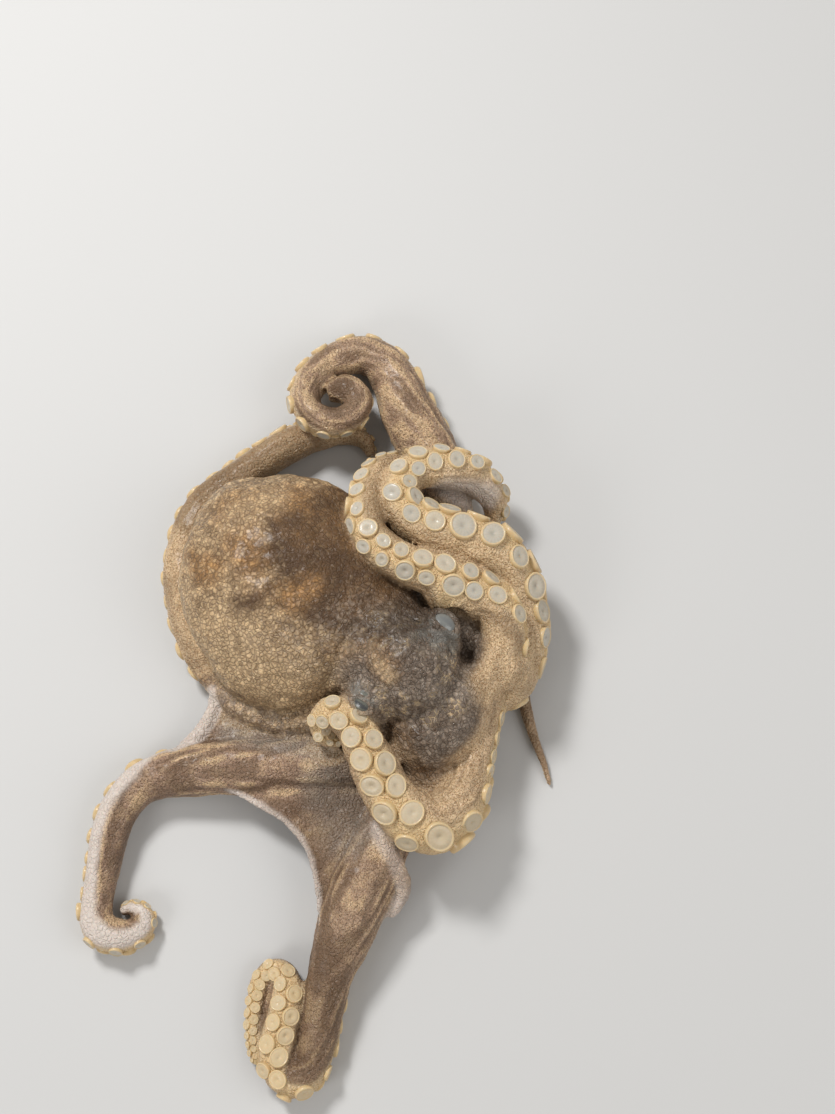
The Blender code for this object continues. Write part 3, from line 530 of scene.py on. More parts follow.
def add_web(bm, web, thickness):
    sheet = bmesh.new()
    bmesh.ops.create_grid(sheet, x_segments=WEB_GRID, y_segments=WEB_GRID, size=0.5)
    for vert in sheet.verts:
        vert.co = Vector(web_point(web, vert.co.x + 0.5, vert.co.y + 0.5)) * MM
    bmesh.ops.recalc_face_normals(sheet, faces=sheet.faces)
    bmesh.ops.solidify(sheet, geom=list(sheet.faces), thickness=thickness)
    for vert in sheet.verts:
        vert.co.z = max(vert.co.z, 0.0002)
    add_part(bm, sheet)
    add_fold(bm, [web_point(web, 1.0, share) for share in np.linspace(0.0, 1.0, 9)], web[7])


def add_fold(bm, places, radius):
    """A rounded fold of skin along a line, slimmer at both ends."""
    count = len(places)
    stops = [(*place, radius * (0.55 + 0.45 * math.sin(math.pi * number / (count - 1))), 0.0)
             for number, place in enumerate(places)]
    route = Route(stops)
    sweep(bm, route, FOLD_SIDES, FOLD_STEP)


def turned(profile, steps):
    """A closed shape turned from a profile of (radius, height) pairs, with any open end filled."""
    bm = bmesh.new()
    verts = [bm.verts.new((radius, 0.0, height)) for radius, height in profile]
    for start, end in zip(verts, verts[1:]):
        bm.edges.new((start, end))
    bmesh.ops.spin(bm, geom=list(bm.verts) + list(bm.edges), cent=(0.0, 0.0, 0.0),
                   axis=(0.0, 0.0, 1.0), angle=2.0 * math.pi, steps=steps, use_merge=True)
    bmesh.ops.remove_doubles(bm, verts=bm.verts, dist=0.0001)
    openings = [edge for edge in bm.edges if edge.is_boundary]
    if openings:
        bmesh.ops.contextual_create(bm, geom=openings)
    bmesh.ops.recalc_face_normals(bm, faces=bm.faces)
    return bm


# ---------------------------------------------------------------- flesh

def add_siphon(bm):
    axis = Vector(SIPHON_END) - Vector(SIPHON_START)
    length = axis.length
    wide, narrow = SIPHON_RADII
    profile = ((0.0, 0.0), (0.85 * wide, 0.0), (wide, 0.15 * length), (narrow, 0.8 * length),
               (1.08 * narrow, length), (SIPHON_BORE, length), (SIPHON_BORE, length - SIPHON_DEPTH),
               (0.0, length - SIPHON_DEPTH))
    turn = UP.rotation_difference(axis).to_matrix().to_4x4()
    siphon = turned(profile, SIPHON_SIDES)
    place = Matrix.Translation(Vector(SIPHON_START) * MM) @ turn @ Matrix.Scale(MM, 4)
    bmesh.ops.transform(siphon, matrix=place, verts=siphon.verts)
    add_part(bm, siphon)


def grow_flesh(settings):
    """All flesh as overlapping closed shapes, merged into one smooth closed skin."""
    bm = bmesh.new()
    for lobes, yaw in ((MANTLE_LOBES, MANTLE_YAW), (HEAD_LOBES, BODY_YAW), (CROWN_LOBES, BODY_YAW)):
        for centre, halves in lobes:
            add_lobe(bm, centre, halves, yaw)
    for route in ROUTES.values():
        sweep(bm, route, ARM_SIDES, ARM_STEP)
    for web in WEBS:
        add_web(bm, web, settings.web)
    for places, radius in FOLDS:
        add_fold(bm, places, radius)
    add_fold(bm, WEB_EDGE, WEB_EDGE_RADIUS)
    add_siphon(bm)
    skin = finish_mesh("skin", bm)
    merge = skin.modifiers.new("merge", "REMESH")
    merge.mode = "VOXEL"
    merge.voxel_size = settings.voxel * 1.0
    merge.use_smooth_shade = True
    smooth = skin.modifiers.new("smooth", "SMOOTH")
    smooth.factor = 0.5
    smooth.iterations = 4
    bake_modifiers(skin)
    return skin


def path_distance(points, path):
    """Distance in millimetres from each point to a line through the given places."""
    best = np.full(len(points), 1e9)
    path = np.array(path, dtype=float)
    for start, end in zip(path, path[1:]):
        line = end - start
        t = np.clip((points - start) @ line / (line @ line), 0.0, 1.0)
        best = np.minimum(best, np.linalg.norm(points - start - t[:, None] * line, axis=1))
    return best


def lobe_distance(points, lobes, yaw):
    """About how far each point lies outside the nearest of some lobes, in millimetres."""
    cosine = math.cos(math.radians(-yaw))
    sine = math.sin(math.radians(-yaw))
    best = np.full(len(points), 1e9)
    for centre, halves in lobes:
        offset = points - np.array(centre)
        local = np.stack((cosine * offset[:, 0] - sine * offset[:, 1],
                          sine * offset[:, 0] + cosine * offset[:, 1], offset[:, 2]), axis=1)
        size = np.linalg.norm(local / np.array(halves), axis=1)
        best = np.minimum(best, (size - 1.0) * min(halves))
    return best


def arm_values(points):
    """Gap to the nearest arm, cosine to its suckers, half width, tints and lengthwise streaks."""
    places, headings, inners, tints, stations = [], [], [], [], []
    for number, (name, route) in enumerate(ROUTES.items()):
        for station in np.arange(0.0, route.length, STATION_STEP):
            stations.append(station + STREAK_PARTING * number)
            places.append(route.at(station))
            along, _, inner = route.axes(station)
            headings.append(along)
            inners.append(inner)
            back, reach, chill, begin = ARM_TINTS[name]
            share = smoothstep(begin - TINT_FADE, begin + TINT_FADE, station)
            tints.append((back, PLAIN_REACH + share * (reach - PLAIN_REACH), chill))
    places, headings, inners, tints, stations = map(
        np.array, (places, headings, inners, tints, stations))
    tree = KDTree(len(places))
    for number, place in enumerate(places):
        tree.insert(place[:3], number)
    tree.balance()
    index = np.array([min(tree.find_n(point, NEAREST), key=lambda hit: hit[2] - places[hit[1], 3])[1]
                      for point in points])
    near = places[index]
    offset = points - near[:, :3]
    gap = np.linalg.norm(offset, axis=1) - near[:, 3]
    offset -= headings[index] * np.sum(offset * headings[index], axis=1, keepdims=True)
    offset /= np.maximum(np.linalg.norm(offset, axis=1, keepdims=True), 1e-6)
    facing = np.sum(offset * inners[index], axis=1)
    across, lengthwise, away = STREAK_RATES
    around = np.stack((facing * near[:, 3] * across, stations[index] * lengthwise, gap * away),
                      axis=1)
    return gap, facing, near[:, 3], tints[index], cloud(around, 1.6, 3)


def smoothstep(low, high, values):
    t = np.clip((values - low) / (high - low), 0.0, 1.0)
    return t * t * (3.0 - 2.0 * t)


def marked(points, marks):
    """How strongly each point carries any of some soft marks."""
    strength = np.zeros(len(points))
    for path, full, end in marks:
        strength = np.maximum(strength, smoothstep(end, full, path_distance(points, path)))
    return strength


def scattered(cells):
    """Three repeatable random numbers from 0 to 1 for each whole-numbered cell."""
    mixed = np.sin(cells @ np.array([[127.1, 269.5, 419.2], [311.7, 183.3, 371.9],
                                     [74.7, 246.1, 233.5]]))
    return np.mod(mixed * 43758.5453, 1.0)


def cloud(points, size, octaves=3):
    """Smooth random values round 0 at each point, with blotches of about the given size."""
    total = np.zeros(len(points))
    for octave in range(octaves):
        place = points / size * 2.0 ** octave + 17.0 * octave
        cell = np.floor(place)
        part = place - cell
        part = part * part * (3.0 - 2.0 * part)
        for corner in itertools.product((0.0, 1.0), repeat=3):
            weight = np.prod(np.where(corner, part, 1.0 - part), axis=1)
            total += weight * (2.0 * scattered(cell + corner)[:, 0] - 1.0) * 0.5 ** octave
    return total


def grains(points, size, steep, where):
    """Rounded grains parted by narrow grooves: 0 in a groove, towards 1 on a grain."""
    chosen = np.flatnonzero(where > 0.05)
    place = points[chosen] / size
    cell = np.floor(place)
    first = np.full(len(chosen), 9.0)
    second = np.full(len(chosen), 9.0)
    for corner in itertools.product((-1.0, 0.0, 1.0), repeat=3):
        gap = np.linalg.norm(cell + corner + scattered(cell + corner) - place, axis=1)
        second = np.minimum(second, np.maximum(first, gap))
        first = np.minimum(first, gap)
    heights = np.ones(len(points))
    heights[chosen] = np.minimum((second - first) * steep, 1.0)
    return heights


def read_vectors(items, key):
    values = np.empty(len(items) * 3)
    items.foreach_get(key, values)
    return values.reshape(-1, 3)


def store_colour(mesh, name, *channels):
    layer = mesh.attributes.new(name, "FLOAT_COLOR", "POINT")
    values = np.ones((len(mesh.vertices), 4))
    values[:, :3] = np.stack(channels, axis=1)
    layer.data.foreach_set("color", values.ravel())


def gaze_axes(side):
    """The eye's centre, its gaze, the line of its slit and the third axis, in millimetres."""
    low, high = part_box("eye_" + side)
    centre = (Vector(low) + Vector(high)) / (2.0 * MM)
    yaw = math.radians(BODY_YAW + EYE_YAW[side])
    gaze = Vector((math.cos(yaw) * GAZE[0], math.sin(yaw) * GAZE[0], GAZE[1])).normalized()
    slit = Vector((math.cos(math.radians(BODY_YAW)), math.sin(math.radians(BODY_YAW)), 0.0))
    slit = (slit - gaze * slit.dot(gaze)).normalized()
    return centre, gaze, slit, gaze.cross(slit)


def open_lids(points, radius):
    """Draw the skin over each eyeball, with thick lids round a narrow opening."""
    for side in EYE_SIDES:
        centre, gaze, slit, across = gaze_axes(side)
        offset = points - np.array(centre)
        size = np.linalg.norm(offset, axis=1)
        ray = offset / np.maximum(size, 1e-6)[:, None]
        front = ray @ np.array(gaze)
        oval = np.hypot(ray @ np.array(slit) / OPENING[0],
                        ray @ np.array(across) / OPENING[1]) / EYE_OPEN[side]
        near = (size < radius + LID_REACH) & (front > 0.0)
        lid = LID_ROLL * np.exp(-((oval - 1.25) / 0.22) ** 2) + LID_THICKNESS
        wanted = radius + np.where(oval < 1.0, -LID_DEPTH * smoothstep(1.0, 0.82, oval) + lid, lid)
        hold = smoothstep(2.5, 1.45, oval) * near
        points += ray * ((wanted - size) * hold)[:, None]


def finish_skin(skin, eye_radius):
    """Lids, relief over the whole skin, then the zones and marks that its material reads."""
    mesh = skin.data
    points = read_vectors(mesh.vertices, "co") / MM
    normals = read_vectors(mesh.vertex_normals, "vector")

    arm, facing, width, tints, streak = arm_values(points)
    crown_gap = lobe_distance(points, DARK_FACE, BODY_YAW)
    distances = np.stack((lobe_distance(points, MANTLE_LOBES, MANTLE_YAW),
                          lobe_distance(points, HEAD_LOBES, BODY_YAW), crown_gap - 0.5, arm))
    weights = np.exp(-(distances - distances.min(axis=0)) / ZONE_BLEND)
    weights /= weights.sum(axis=0)
    mantle, head, crown, limb = weights
    face = (head + crown) / np.maximum(1.0 - mantle, 0.001)
    margin = smoothstep(5.5, 3.0, path_distance(points, MARGIN))
    pale = marked(points, PALE_MARKS)
    for web, full, end in PALE_RIMS:
        rim = [web_point(web, 1.0, share) for share in np.linspace(0.0, 1.0, 9)]
        pale = np.maximum(pale, marked(points, ((rim, full, end),)))

    # Dark pigment together with painted shade in hollows and creases.
    dark = np.maximum(marked(points, DARK_AND_SHADE_MARKS), limb * marked(points, DARK_AND_SHADE_ARM_MARKS))
    # Greyish skin, with painted glints on the mantle's grains and the face.
    grey = marked(points, GREY_AND_GLINT_MARKS)
    tan = marked(points, TAN_MARKS)
    warm = (1.0 - limb) * marked(points, WARM_MARKS) + limb * smoothstep(-0.6, 0.6, streak)
    coarse = cloud(points, 13.0, 2)
    middle = cloud(points, 4.5, 3)
    fine = cloud(points, 1.7, 2)
    inner = smoothstep(0.0, 0.45, facing - tints[:, 1] + 0.12 * middle) * limb
    plain = inner * tints[:, 2]
    stretched = points.copy()
    stretched[:, 2] *= 0.8
    cells = grains(stretched + 0.5 * middle[:, None], 3.0, 1.5, mantle + margin)
    grits = grains(points, 1.7, 2.2, head + crown + grey + dark)
    grain = np.maximum(grey, 0.6 * head)
    relief = (mantle * (0.70 * coarse + 0.30 * middle + 0.10 * fine + 0.18 * cells * (1.0 - dark)
                        + (0.15 + 0.35 * grain) * grits * np.maximum(dark, grain))
              + head * (0.35 * coarse + 0.50 * middle + 0.15 * fine + 0.50 * grits)
              + crown * (0.35 * coarse + 0.45 * middle + 0.10 * fine + 0.10 * grits)
              + limb * np.clip(width / 6.0, 0.1, 1.0) * (1.0 - 0.7 * plain)
              * (0.25 * coarse + 0.22 * middle + 0.12 * fine + 0.22 * streak)
              + margin * (0.6 * np.abs(middle) + 0.25 * fine))
    spoke = np.arctan2(points[:, 1] - WEB_MIDDLE[1], points[:, 0] - WEB_MIDDLE[0])
    relief += crown * 0.35 * np.sin(spoke * WEB_PLEATS + 2.0 * middle)
    moved = points + normals * relief[:, None]
    open_lids(moved, eye_radius)
    moved[:, 2] = np.maximum(moved[:, 2], FLOOR_GAP)
    mesh.vertices.foreach_set("co", (moved * MM).ravel())

    amber = smoothstep(0.50, 0.92, facing + 0.1 * middle) * limb
    groove = 1.0 - np.where(mantle + margin > 0.5, cells, grits)
    store_colour(mesh, "zones", np.maximum(mantle, margin), face, marked(points, MIST_MARKS))
    store_colour(mesh, "tones", inner, amber, tints[:, 0])
    store_colour(mesh, "marks", dark, grey, tan)
    store_colour(mesh, "relief", groove, pale, tints[:, 2])
    mesh.attributes.new("warm", "FLOAT", "POINT").data.foreach_set("value", warm)
    mesh.update()


# ---------------------------------------------------------------- materials

class Nodes:
    """A short hand for wiring one node tree."""

    def __init__(self, tree):
        self.tree = tree

    def add(self, kind, sockets=None, **values):
        node = self.tree.nodes.new(kind)
        for key, value in values.items():
            setattr(node, key, value)
        for key, value in (sockets or {}).items():
            self.put(node.inputs[key], value)
        return node

    def put(self, socket, value):
        if hasattr(value, "default_value"):
            self.tree.links.new(value, socket)
        else:
            socket.default_value = value

    def math(self, operation, *values, clamp=False):
        return self.add("ShaderNodeMath", dict(enumerate(values)), operation=operation,
                        use_clamp=clamp).outputs[0]

    def times(self, first, second):
        return self.math("MULTIPLY", first, second)

    def mix(self, amount, first, second):
        """Two colours, each a socket or a plain colour, mixed by an amount."""
        first, second = (value if hasattr(value, "default_value") else colour(value)
                         for value in (first, second))
        node = self.add("ShaderNodeMix", {"Factor": amount}, data_type="RGBA")
        self.put(node.inputs[6], first)
        self.put(node.inputs[7], second)
        return node.outputs[2]

    def coats(self, base, *layers):
        """A base colour under layers of (colour, mask, share of the mask), the lowest first."""
        for top, mask, share in layers:
            base = self.mix(self.times(mask, share), base, top)
        return base

    def ramp(self, value, low, high, smooth=True):
        return self.add("ShaderNodeMapRange", {"Value": value, "From Min": low, "From Max": high},
                        interpolation_type="SMOOTHSTEP" if smooth else "LINEAR").outputs["Result"]

    def noise(self, vector, scale, detail=3.0):
        return self.add("ShaderNodeTexNoise", {"Vector": vector, "Scale": scale, "Detail": detail,
                                               "Roughness": 0.55}).outputs["Fac"]

    def voronoi(self, vector, scale, feature="F1"):
        return self.add("ShaderNodeTexVoronoi", {"Vector": vector, "Scale": scale}, feature=feature)

    def bump(self, height, strength, distance):
        return self.add("ShaderNodeBump", {"Height": height, "Strength": strength,
                                           "Distance": distance}).outputs["Normal"]

    def split(self, value):
        return self.add("ShaderNodeSeparateColor", {0: value}).outputs

    def attribute(self, name, output="Color"):
        return self.add("ShaderNodeAttribute", attribute_name=name).outputs[output]

    def channels(self, name):
        """The red, green and blue of a colour attribute."""
        return self.split(self.attribute(name))[:3]


def colour(value):
    return (*value, 1.0)


def dimmed(value, share):
    return tuple(share * part for part in value)


def new_group(name, inputs, outputs):
    """An empty shader node group with float, vector or colour sockets."""
    group = bpy.data.node_groups.new(name, "ShaderNodeTree")
    for label, kind, default in inputs:
        socket = group.interface.new_socket(label, in_out="INPUT", socket_type=kind)
        if default is not None:
            socket.default_value = default
    for label, kind in outputs:
        group.interface.new_socket(label, in_out="OUTPUT", socket_type=kind)
    net = Nodes(group)
    return group, net, net.add("NodeGroupInput"), net.add("NodeGroupOutput")


def speckle_group():
    """Round pigment spots of uneven size, some of them missing."""
    group, net, given, result = new_group(
        "pigment_specks",
        (("Vector", "NodeSocketVector", None), ("Scale", "NodeSocketFloat", 1500.0),
         ("Fill", "NodeSocketFloat", 0.7)),
        (("Mask", "NodeSocketFloat"),))
    cells = net.voronoi(given.outputs["Vector"], given.outputs["Scale"])
    chance = net.split(cells.outputs["Color"])
    size = net.math("MULTIPLY_ADD", chance[0], 0.24, 0.24)
    spot = net.ramp(net.math("SUBTRACT", cells.outputs["Distance"], size), 0.10, -0.06)
    present = net.ramp(net.math("SUBTRACT", chance[1], given.outputs["Fill"]), 0.05, -0.05)
    net.put(result.inputs["Mask"], net.times(spot, present))
    return group


def net_group():
    """The fine net of grooves that parts the skin into cells."""
    group, net, given, result = new_group(
        "groove_net",
        (("Vector", "NodeSocketVector", None), ("Scale", "NodeSocketFloat", 500.0),
         ("Width", "NodeSocketFloat", 0.12)),
        (("Mask", "NodeSocketFloat"), ("Cell", "NodeSocketFloat")))
    vector, scale = given.outputs["Vector"], given.outputs["Scale"]
    bend = net.add("ShaderNodeTexNoise", {"Vector": vector, "Scale": 260.0})
    warp = net.add("ShaderNodeMix", data_type="VECTOR")
    warp.inputs["Factor"].default_value = 0.0016
    net.put(warp.inputs[4], vector)
    net.put(warp.inputs[5], bend.outputs["Color"])
    edges = net.voronoi(warp.outputs[1], scale, "DISTANCE_TO_EDGE")
    cells = net.voronoi(warp.outputs[1], scale)
    groove = net.ramp(edges.outputs["Distance"], given.outputs["Width"], 0.0)
    net.put(result.inputs["Mask"], groove)
    net.put(result.inputs["Cell"], net.split(cells.outputs["Color"])[2])
    return group


def use_group(net, group, **values):
    return net.add("ShaderNodeGroup", values, node_tree=group).outputs


def new_material(name):
    material = bpy.data.materials.new(name)
    material.use_nodes = True
    net = Nodes(material.node_tree)
    shader = net.tree.nodes["Principled BSDF"]
    place = net.add("ShaderNodeTexCoord").outputs["Object"]
    return material, net, shader, place


def dress(net, shader, values):
    """Set a shader's sockets, each from a plain value or from another node."""
    for key, value in values.items():
        net.put(shader.inputs[key], value)


def skin_material(settings, specks, grooves):
    """Wet skin: dark net over tan, grainy grey face with painted glints, painted shade in hollows and
    creases, specked arms, pale and amber inner sides.
    """
    material, net, shader, place = new_material("octopus_skin")
    mantle, face_share, mist = net.channels("zones")
    inner, amber, tint = net.channels("tones")
    # dark brings dark pigment and painted shade in hollows and creases; grey brings greyish skin and
    # painted glints.
    dark, grey, tan = net.channels("marks")
    groove, pale, chill = net.channels("relief")
    umber = settings.umber
    black = dimmed(umber, 0.35)

    warmth = net.attribute("warm", "Fac")
    fine_net = use_group(net, grooves, Vector=place, Scale=900.0, Width=0.22)
    small = use_group(net, specks, Vector=place, Scale=2400.0, Fill=0.9)["Mask"]
    large = use_group(net, specks, Vector=place, Scale=1600.0, Fill=0.8)["Mask"]
    bright = net.ramp(fine_net["Cell"], 0.62, 1.0)
    dull = net.ramp(fine_net["Cell"], 0.38, 0.0)
    patch = net.noise(place, 95.0, 4.0)
    mottle = net.noise(place, 330.0, 4.0)
    grain = net.noise(place, 900.0, 4.0)
    grit = net.ramp(grain, 0.40, 0.62)
    lean = net.math("SUBTRACT", patch, 0.5)

    body = net.mix(net.ramp(net.math("ADD", dark, net.times(lean, 0.9)), 0.10, 0.75),
                   settings.tan, umber)
    warm = net.times(net.ramp(net.noise(place, 60.0), 0.45, 0.62), 0.25)
    body = net.mix(net.math("ADD", warm, net.times(warmth, 0.72), clamp=True), body, settings.orange)
    body = net.coats(
        body,
        (settings.tan, tan, 0.70),
        (umber, net.ramp(mottle, 0.50, 0.68), 0.45),
        # Painted glints: violet flecks on the grains under the grey marks.
        (settings.violet, grey, net.times(grit, 0.6)),
        (umber, groove, 0.62),
        (umber, net.ramp(grain, 0.47, 0.33), 0.50),
        (settings.tan, tan, 0.30),
        (umber, dull, 0.30),
        (settings.tan, bright, net.math("SUBTRACT", 0.36, net.times(dark, 0.28))),
        (umber, fine_net["Mask"], 0.44),
        (umber, small, 0.25))

    # The face: violet over umber, partly the greyish skin and partly painted glints; cream along the
    # net's ridges is a painted highlight.
    glint = net.math("MULTIPLY_ADD", lean, 1.4, 0.34)
    ridge_glint = net.times(net.times(fine_net["Mask"], grey), net.ramp(mottle, 0.48, 0.62))
    face = net.mix(net.math("ADD", glint, net.times(grey, 0.15), clamp=True), umber, settings.violet)
    face = net.coats(
        face,
        (settings.orange, warmth, 0.40),
        (settings.violet, bright, 0.42),
        (black, dull, 0.35),
        (black, fine_net["Mask"], 0.50),
        (settings.cream, ridge_glint, 0.85),
        (settings.violet, grit, 0.15),
        (settings.mist, mist, net.ramp(mottle, 0.40, 0.55)),
        (settings.tan, tan, 0.45),
        # Dark pigment, and painted shade in the face's pit and creases.
        (black, dark, 0.60),
        (black, groove, 0.45))

    streaks = net.times(net.math("SUBTRACT", 1.0, tint), 0.50)
    ink = net.mix(tint, umber, settings.rust)
    back = net.coats(
        net.mix(tint, settings.brown, settings.cream),
        (settings.tan, net.ramp(mottle, 0.45, 0.65), 0.22),
        (umber, net.ramp(patch, 0.55, 0.35), 0.35),
        (umber, net.ramp(warmth, 0.42, 0.0), streaks),
        (settings.tan, net.ramp(warmth, 0.60, 1.0), streaks),
        (settings.mist, grey, 0.50),
        # Dark pigment, and painted shade in the hollow of arm l4's coil.
        (umber, dark, 0.50),
        (ink, large, net.math("ADD", net.times(tint, 0.40), 0.30)),
        (ink, small, 0.60))
    whitish = net.mix(chill, settings.flesh, settings.pale)
    freckle = net.math("SUBTRACT", 0.60, net.times(chill, 0.55))
    underside = net.coats(net.mix(amber, whitish, settings.amber), (settings.rust, small, freckle))

    skin = net.mix(face_share, net.mix(inner, back, underside), face)
    skin = net.mix(mantle, skin, body)
    height = net.math("SUBTRACT", net.times(grain, 0.7), net.times(fine_net["Mask"], 0.35))
    dress(net, shader, {
        "Base Color": net.coats(skin, (settings.pale, pale, 0.85)),
        "Roughness": net.ramp(grain, -0.1, 1.5, smooth=False),
        "Specular IOR Level": 0.25, "Coat Weight": 0.07, "Coat Roughness": 0.18,
        "Subsurface Weight": 0.08, "Subsurface Scale": 0.0012,
        "Subsurface Radius": (1.0, 0.45, 0.25), "Normal": net.bump(height, 1.0, 0.0005)})
    return material


SUCKER_RAYS = 16.0


def sucker_material(settings):
    """Clouded disc with faint rays and painted shade towards its sunken middle, a thin cream rim and
    an amber flank.
    """
    material, net, shader, place = new_material("octopus_sucker")
    radius, turn, flank = net.channels("cup")
    rim = net.times(net.ramp(radius, 0.76, 0.88), 0.90)
    rays = net.math("SINE", net.times(turn, 2.0 * math.pi * SUCKER_RAYS))
    rays = net.times(net.ramp(rays, -0.4, 1.0), net.ramp(radius, 0.2, 0.5))
    # The middle of the disc is darkened as painted shade in its sunken centre.
    disc = net.coats(settings.disc, (dimmed(settings.disc, 0.7), rays, 0.22),
                     (dimmed(settings.disc, 0.5), net.ramp(radius, 0.42, 0.0), 0.30))
    disc = net.mix(net.attribute("tint", "Fac"), disc, settings.rim)
    both = net.mix(rim, disc, settings.rim)
    dress(net, shader, {
        "Base Color": net.mix(flank, both, settings.flank), "Roughness": 0.38,
        "Specular IOR Level": 0.3, "Coat Weight": 0.15, "Coat Roughness": 0.12,
        "Subsurface Weight": 0.2, "Subsurface Scale": 0.0012,
        "Subsurface Radius": (1.0, 0.6, 0.4),
        "Normal": net.bump(net.noise(place, 900.0), 0.4, 0.0002)})
    return material


SLIT_BLACK = (0.006, 0.006, 0.007)


def eye_material(settings):
    """A clouded greyish eye with a dull gold iris and a dark slit."""
    material, net, shader, place = new_material("octopus_eye")
    slit, iris, clouded = net.channels("gaze")
    gold = net.mix(net.ramp(net.noise(place, 1500.0), 0.35, 0.65), settings.iris,
                   dimmed(settings.iris, 0.5))
    ball = net.mix(iris, settings.cloud, gold)
    ball = net.mix(slit, ball, SLIT_BLACK)
    dress(net, shader, {"Base Color": net.mix(clouded, ball, settings.cloud), "Roughness": 0.25,
                        "Coat Weight": 0.6, "Coat Roughness": 0.08})
    return material


# ---------------------------------------------------------------- suckers and eyes

SUCKER_PROFILE = ((0.0, 0.02), (0.10, 0.03), (0.18, 0.08), (0.45, 0.12), (0.74, 0.13), (0.80, 0.10),
                  (0.86, 0.16), (0.92, 0.17), (0.97, 0.11), (1.0, -0.02), (0.98, -0.20), (0.90, -0.50),
                  (0.80, -0.95))
SUCKER_FLANK = 0.12     # height below which the outer side begins
SUCKER_SIDES = 18
SUCKER_START = 6.0      # where the rows begin, in millimetres from the mouth
SUCKER_TILT = 0.14      # how unevenly the suckers face
SUCKER_SEAT = 0.94      # how far out of the arm's middle they sit, in its half widths
SUCKER_SHOWN = 0.45     # the height, in its radii, at which a sucker has to be clear of the skin
SUCKER_TURN = 6.28      # the most that a sucker is turned on its own axis, in radians
SUCKER_SEED = 8


def sucker_template(sides):
    """One cup of unit radius, turned from its profile and closed at its foot."""
    bm = turned(SUCKER_PROFILE, sides)
    mesh = bpy.data.meshes.new("sucker")
    bm.to_mesh(mesh)
    bm.free()
    return mesh


def is_clear(tree, point):
    """Whether a point stands outside the skin."""
    place, normal, _, _ = tree.find_nearest(point)
    return place is not None and (point - place).dot(normal) > 0.0


def grow_suckers(name, route, settings, template, tree, chance):
    """Two staggered rows of suckers along one arm, as one mesh."""
    bm = bmesh.new()
    cup = bm.verts.layers.float_color.new("cup")
    tone = bm.verts.layers.float.new("tint")
    distance = SUCKER_START
    side = 1.0
    while distance < route.length - 0.6:
        place = route.at(distance)
        radius = max(settings.share * place[3] * MM, settings.least) * chance.uniform(0.84, 1.12)
        along, _, inner = route.axes(distance)
        out = Matrix.Rotation(side * settings.spread, 3, along) @ inner
        tilt = Vector([chance.uniform(-SUCKER_TILT, SUCKER_TILT) for _ in range(3)])
        facing = (out + tilt).normalized()
        centre = Vector(place[:3]) * MM + out * place[3] * MM * SUCKER_SEAT
        tint = CREAM_SUCKERS.get(name, 0.0) + chance.uniform(0.0, 0.25)
        lowest = centre.z - radius * math.sqrt(max(1.0 - facing.z ** 2, 0.0))
        if lowest > 0.0001 and is_clear(tree, centre + facing * radius * SUCKER_SHOWN):
            fresh = len(bm.verts)
            bm.from_mesh(template)
            bm.verts.ensure_lookup_table()
            verts = bm.verts[fresh:]
            for vert in verts:
                reach = math.hypot(vert.co.x, vert.co.y)
                flank = min(max((SUCKER_FLANK - vert.co.z) / 0.25, 0.0), 1.0) if reach > 0.85 else 0.0
                vert[cup] = (reach, math.atan2(vert.co.y, vert.co.x) / (2.0 * math.pi) + 0.5,
                             flank, 1.0)
                vert[tone] = tint
            squash = chance.uniform(0.86, 1.0)
            turn = UP.rotation_difference(facing).to_matrix().to_4x4()
            spin = Matrix.Rotation(chance.uniform(0.0, SUCKER_TURN), 4, "Z")
            size = Matrix.Diagonal((radius, radius * squash, radius, 1.0))
            bmesh.ops.transform(bm, matrix=Matrix.Translation(centre) @ turn @ spin @ size,
                                verts=verts)
            for vert in verts:
                vert.co.z = max(vert.co.z, 0.0)
        distance += settings.pitch * radius / MM / 2.0
        side = -side
    return finish_mesh("suckers_" + name, bm, smooth=True)


def make_eye(side, settings):
    """An eyeball with a level slit pupil, at its place in the head."""
    centre, gaze, slit, across = gaze_axes(side)
    bm = bmesh.new()
    bmesh.ops.create_uvsphere(bm, u_segments=48, v_segments=32, radius=settings.radius)
    layer = bm.verts.layers.float_color.new("gaze")
    for vert in bm.verts:
        front = vert.co.z > 0.0
        pupil = math.hypot(vert.co.x / PUPIL[0], vert.co.y / PUPIL[1]) / settings.radius
        iris = math.hypot(vert.co.x, vert.co.y) / settings.radius
        vert[layer] = (1.0 if front and pupil < 1.0 else 0.0, 1.0 if front and iris < IRIS else 0.0,
                       EYE_CLOUD[side], 1.0)
    turn = Matrix((slit, across, gaze)).transposed().to_4x4()
    bmesh.ops.transform(bm, matrix=Matrix.Translation(centre * MM) @ turn, verts=bm.verts)
    return finish_mesh("eyeball_" + side, bm, smooth=True)


# ---------------------------------------------------------------- operators

class OCTOPUS_OT_skin(bpy.types.Operator):
    """Grow the one skin that covers mantle, head, siphon, web and arms"""
    bl_idname = "octopus.skin"
    bl_label = "Skin"

    def execute(self, context):
        settings = context.scene.octopus_skin
        skin = grow_flesh(settings)
        finish_skin(skin, context.scene.octopus_eyes.radius / MM)
        triangles = 2 * len(skin.data.polygons)
        if triangles > settings.triangles:
            thin = skin.modifiers.new("thin", "DECIMATE")
            thin.ratio = settings.triangles / triangles
            bake_modifiers(skin)
        keep_largest(skin)
        skin.data.materials.clear()
        skin.data.materials.append(skin_material(settings, speckle_group(), net_group()))
        skin.data.shade_smooth()
        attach(skin, "root")
        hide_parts(*FLESH_NODES)
        return {"FINISHED"}


